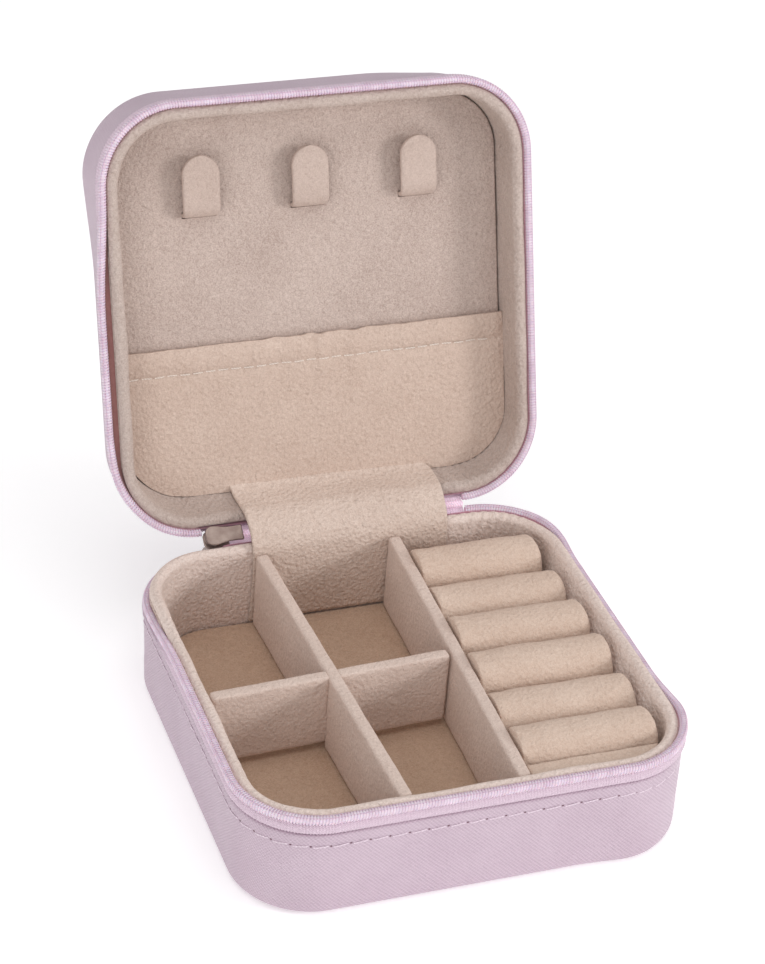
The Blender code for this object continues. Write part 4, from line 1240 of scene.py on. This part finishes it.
def zip_slider():
    """The slider: two plates with a wide head and a narrow tail, the post between them, and the bridge that
    holds the pull. It is drawn about the joined coil, with the inside of the box at +Z."""
    side = [(-0.0044, 0.0010), (-0.0041, 0.0016), (-0.0035, 0.0021), (-0.0026, 0.0023), (-0.0016, 0.0022),
            (-0.0004, 0.0019), (0.0008, 0.00172), (0.0022, 0.0017), (0.0043, 0.0018)]
    outline = [(x, -width) for x, width in side] + [(x, width) for x, width in reversed(side)]
    parts = [block("post", (-0.0038, -0.0006, -0.0015), (-0.0024, 0.0006, 0.0013)),
             block("leg", (-0.0025, -0.0008, -0.0036), (-0.0016, 0.0008, -0.0016)),
             block("leg", (0.0016, -0.0008, -0.0036), (0.0025, 0.0008, -0.0016)),
             block("bridge", (-0.0025, -0.0008, -0.0038), (0.0025, 0.0008, -0.0032))]
    for height in (0.00132, -0.00160):
        plate = board("plate", outline, 0.0007)
        plate.transform(Matrix.Translation((0, 0, height)) @ Matrix.Rotation(math.pi / 2, 4, "X"))
        parts.append(plate)

    def join(bm):
        for part in parts:
            bm.from_mesh(part)

    whole = edited(bpy.data.meshes.new("slider"), join)
    whole.transform(Matrix.Translation((middle_of("zip_slider").x, 0, 0)))
    soft = soft_solid(whole, 0.00012, 4, ZIP_TURN)
    show("zip_slider_cast", soft, "slider", "slider_metal", METAL, "zip_slider")


def zip_pull():
    """The pull keeps its CAD shape, with its edges rounded off."""
    soft = soft_solid(frame["nodes"]["zip_pull_tab"].data.copy(), 0.00014, 6)
    show("zip_pull_cast", soft, "pull", "slider_metal", METAL, "zip_pull_tab")


# ---------------------------------------------------------------- the whole box
def build_panels():
    """The leatherette panels on top of the lid and under the base."""
    top = mesh_from("top", pad(0.0078 + GAP, BOX_HEIGHT - COVER, BOX_HEIGHT, 0.0004, 0.0003), LID_OPEN)
    show("lid_top_leather", top, "lid", "leatherette", LEATHER, "lid_top_cover")
    low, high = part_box("base_bottom_cover")
    shape = pad(HALF_X - high.x, low.z, high.z, 0.0003)
    bottom = mesh_from("bottom", shape, turned_over(low.z + high.z))
    show("base_bottom_leather", bottom, "base", "leatherette", LEATHER, "base_bottom_cover")


def finish_hidden_nodes():
    """Materials of the CAD nodes that stay."""
    for row in frame["record"]["subparts"]:
        node = frame["nodes"][row["node"]]
        kind = row["material_slot"]
        if not node.hide_render and kind in HIDDEN:
            node.data.materials.clear()
            node.data.materials.append(HIDDEN[kind])


def build_box():
    """Every visible piece."""
    wall_stitches("base", -HINGE_SPAN[0] + STITCH_PITCH)
    for half in HALVES:
        for build in (leather_wall, tape_ring, tape_edge, coil_ring, coil_stitches, lining_wall):
            build(half)
    build_panels()
    floor_pad()
    build_dividers()
    for number in range(1, 7):
        ring_roll(number)
    for end in ("front", "back"):
        end_pad("ring_pad_" + end, "ring_end_pad_" + end)
    lid_panel()
    for side in ("left", "middle", "right"):
        necklace_hook(side)
    necklace_pocket()
    pocket_stitches()
    hinge_flap()
    leather_hinge()
    strip_stitches("base", -1)
    strip_stitches("lid", 1, LID_OPEN)
    for side in ("left", "right"):
        joined_coil(side)
    zip_slider()
    zip_pull()
    finish_hidden_nodes()


# ---------------------------------------------------------------- floor, light and camera
def build_floor():
    """A plain pale floor."""
    size = 12
    pale = (0.96, 0.96, 0.96, 1.0)
    finish = Finish("studio_floor", 0.9, ("Base Color", pale), ("Emission Color", pale),
                    ("Emission Strength", 0.3))
    bpy.ops.mesh.primitive_plane_add(size=size, location=(0, 0, -0.0001))
    floor = bpy.context.object
    floor.name = "studio_floor"
    floor.data.materials.append(finish.material)


def build_lights():
    """Soft light from all around, strongest from the front right and above."""
    world = bpy.data.worlds.new("studio")
    bpy.context.scene.world = world
    world.use_nodes = True
    background = world.node_tree.nodes["Background"]
    background.inputs["Color"].default_value = (1.0, 1.0, 1.0, 1.0)
    background.inputs["Strength"].default_value = 0.54
    aim = Vector((0.0, 0.0, 0.03))
    for name, place, size, power in (("key_light", (1.05, -0.70, 0.45), 0.4, 6.8),
                                     ("top_light", (-0.10, -0.16, 1.0), 0.8, 2.4),
                                     ("fill_light", (-0.8, -0.8, 0.40), 0.8, 3.0)):
        data = bpy.data.lights.new(name, "AREA")
        data.shape = "DISK"
        data.size = size
        data.energy = power
        light = put(name, data)
        light.location = place
        light.rotation_mode = "QUATERNION"
        light.rotation_quaternion = (Vector(place) - aim).to_track_quat("Z", "Y")
    bpy.context.scene.view_settings.view_transform = "Standard"
    bpy.context.scene.view_settings.look = "None"


def build_camera():
    """The camera, from the front left and above."""
    azimuth = math.radians(-21.91)
    elevation = math.radians(33.43)
    roll = math.radians(4.81)
    aim = Vector((-0.00939, 0.0, 0.07162))
    distance = 0.59347
    back = Vector((math.sin(azimuth) * math.cos(elevation), -math.cos(azimuth) * math.cos(elevation),
                   math.sin(elevation)))
    level = Vector((math.cos(azimuth), math.sin(azimuth), 0.0))
    above = back.cross(level)
    right = level * math.cos(roll) + above * math.sin(roll)
    up = above * math.cos(roll) - level * math.sin(roll)
    data = bpy.data.cameras.new("camera")
    data.lens = 107.36
    data.sensor_width = 36.0
    data.clip_start = 0.01
    camera = put("camera", data)
    turn = Matrix((right, up, back)).transposed().to_4x4()
    camera.matrix_world = Matrix.Translation(aim + back * distance) @ turn
    bpy.context.scene.camera = camera


build_camera()
build_floor()
build_lights()
build_box()
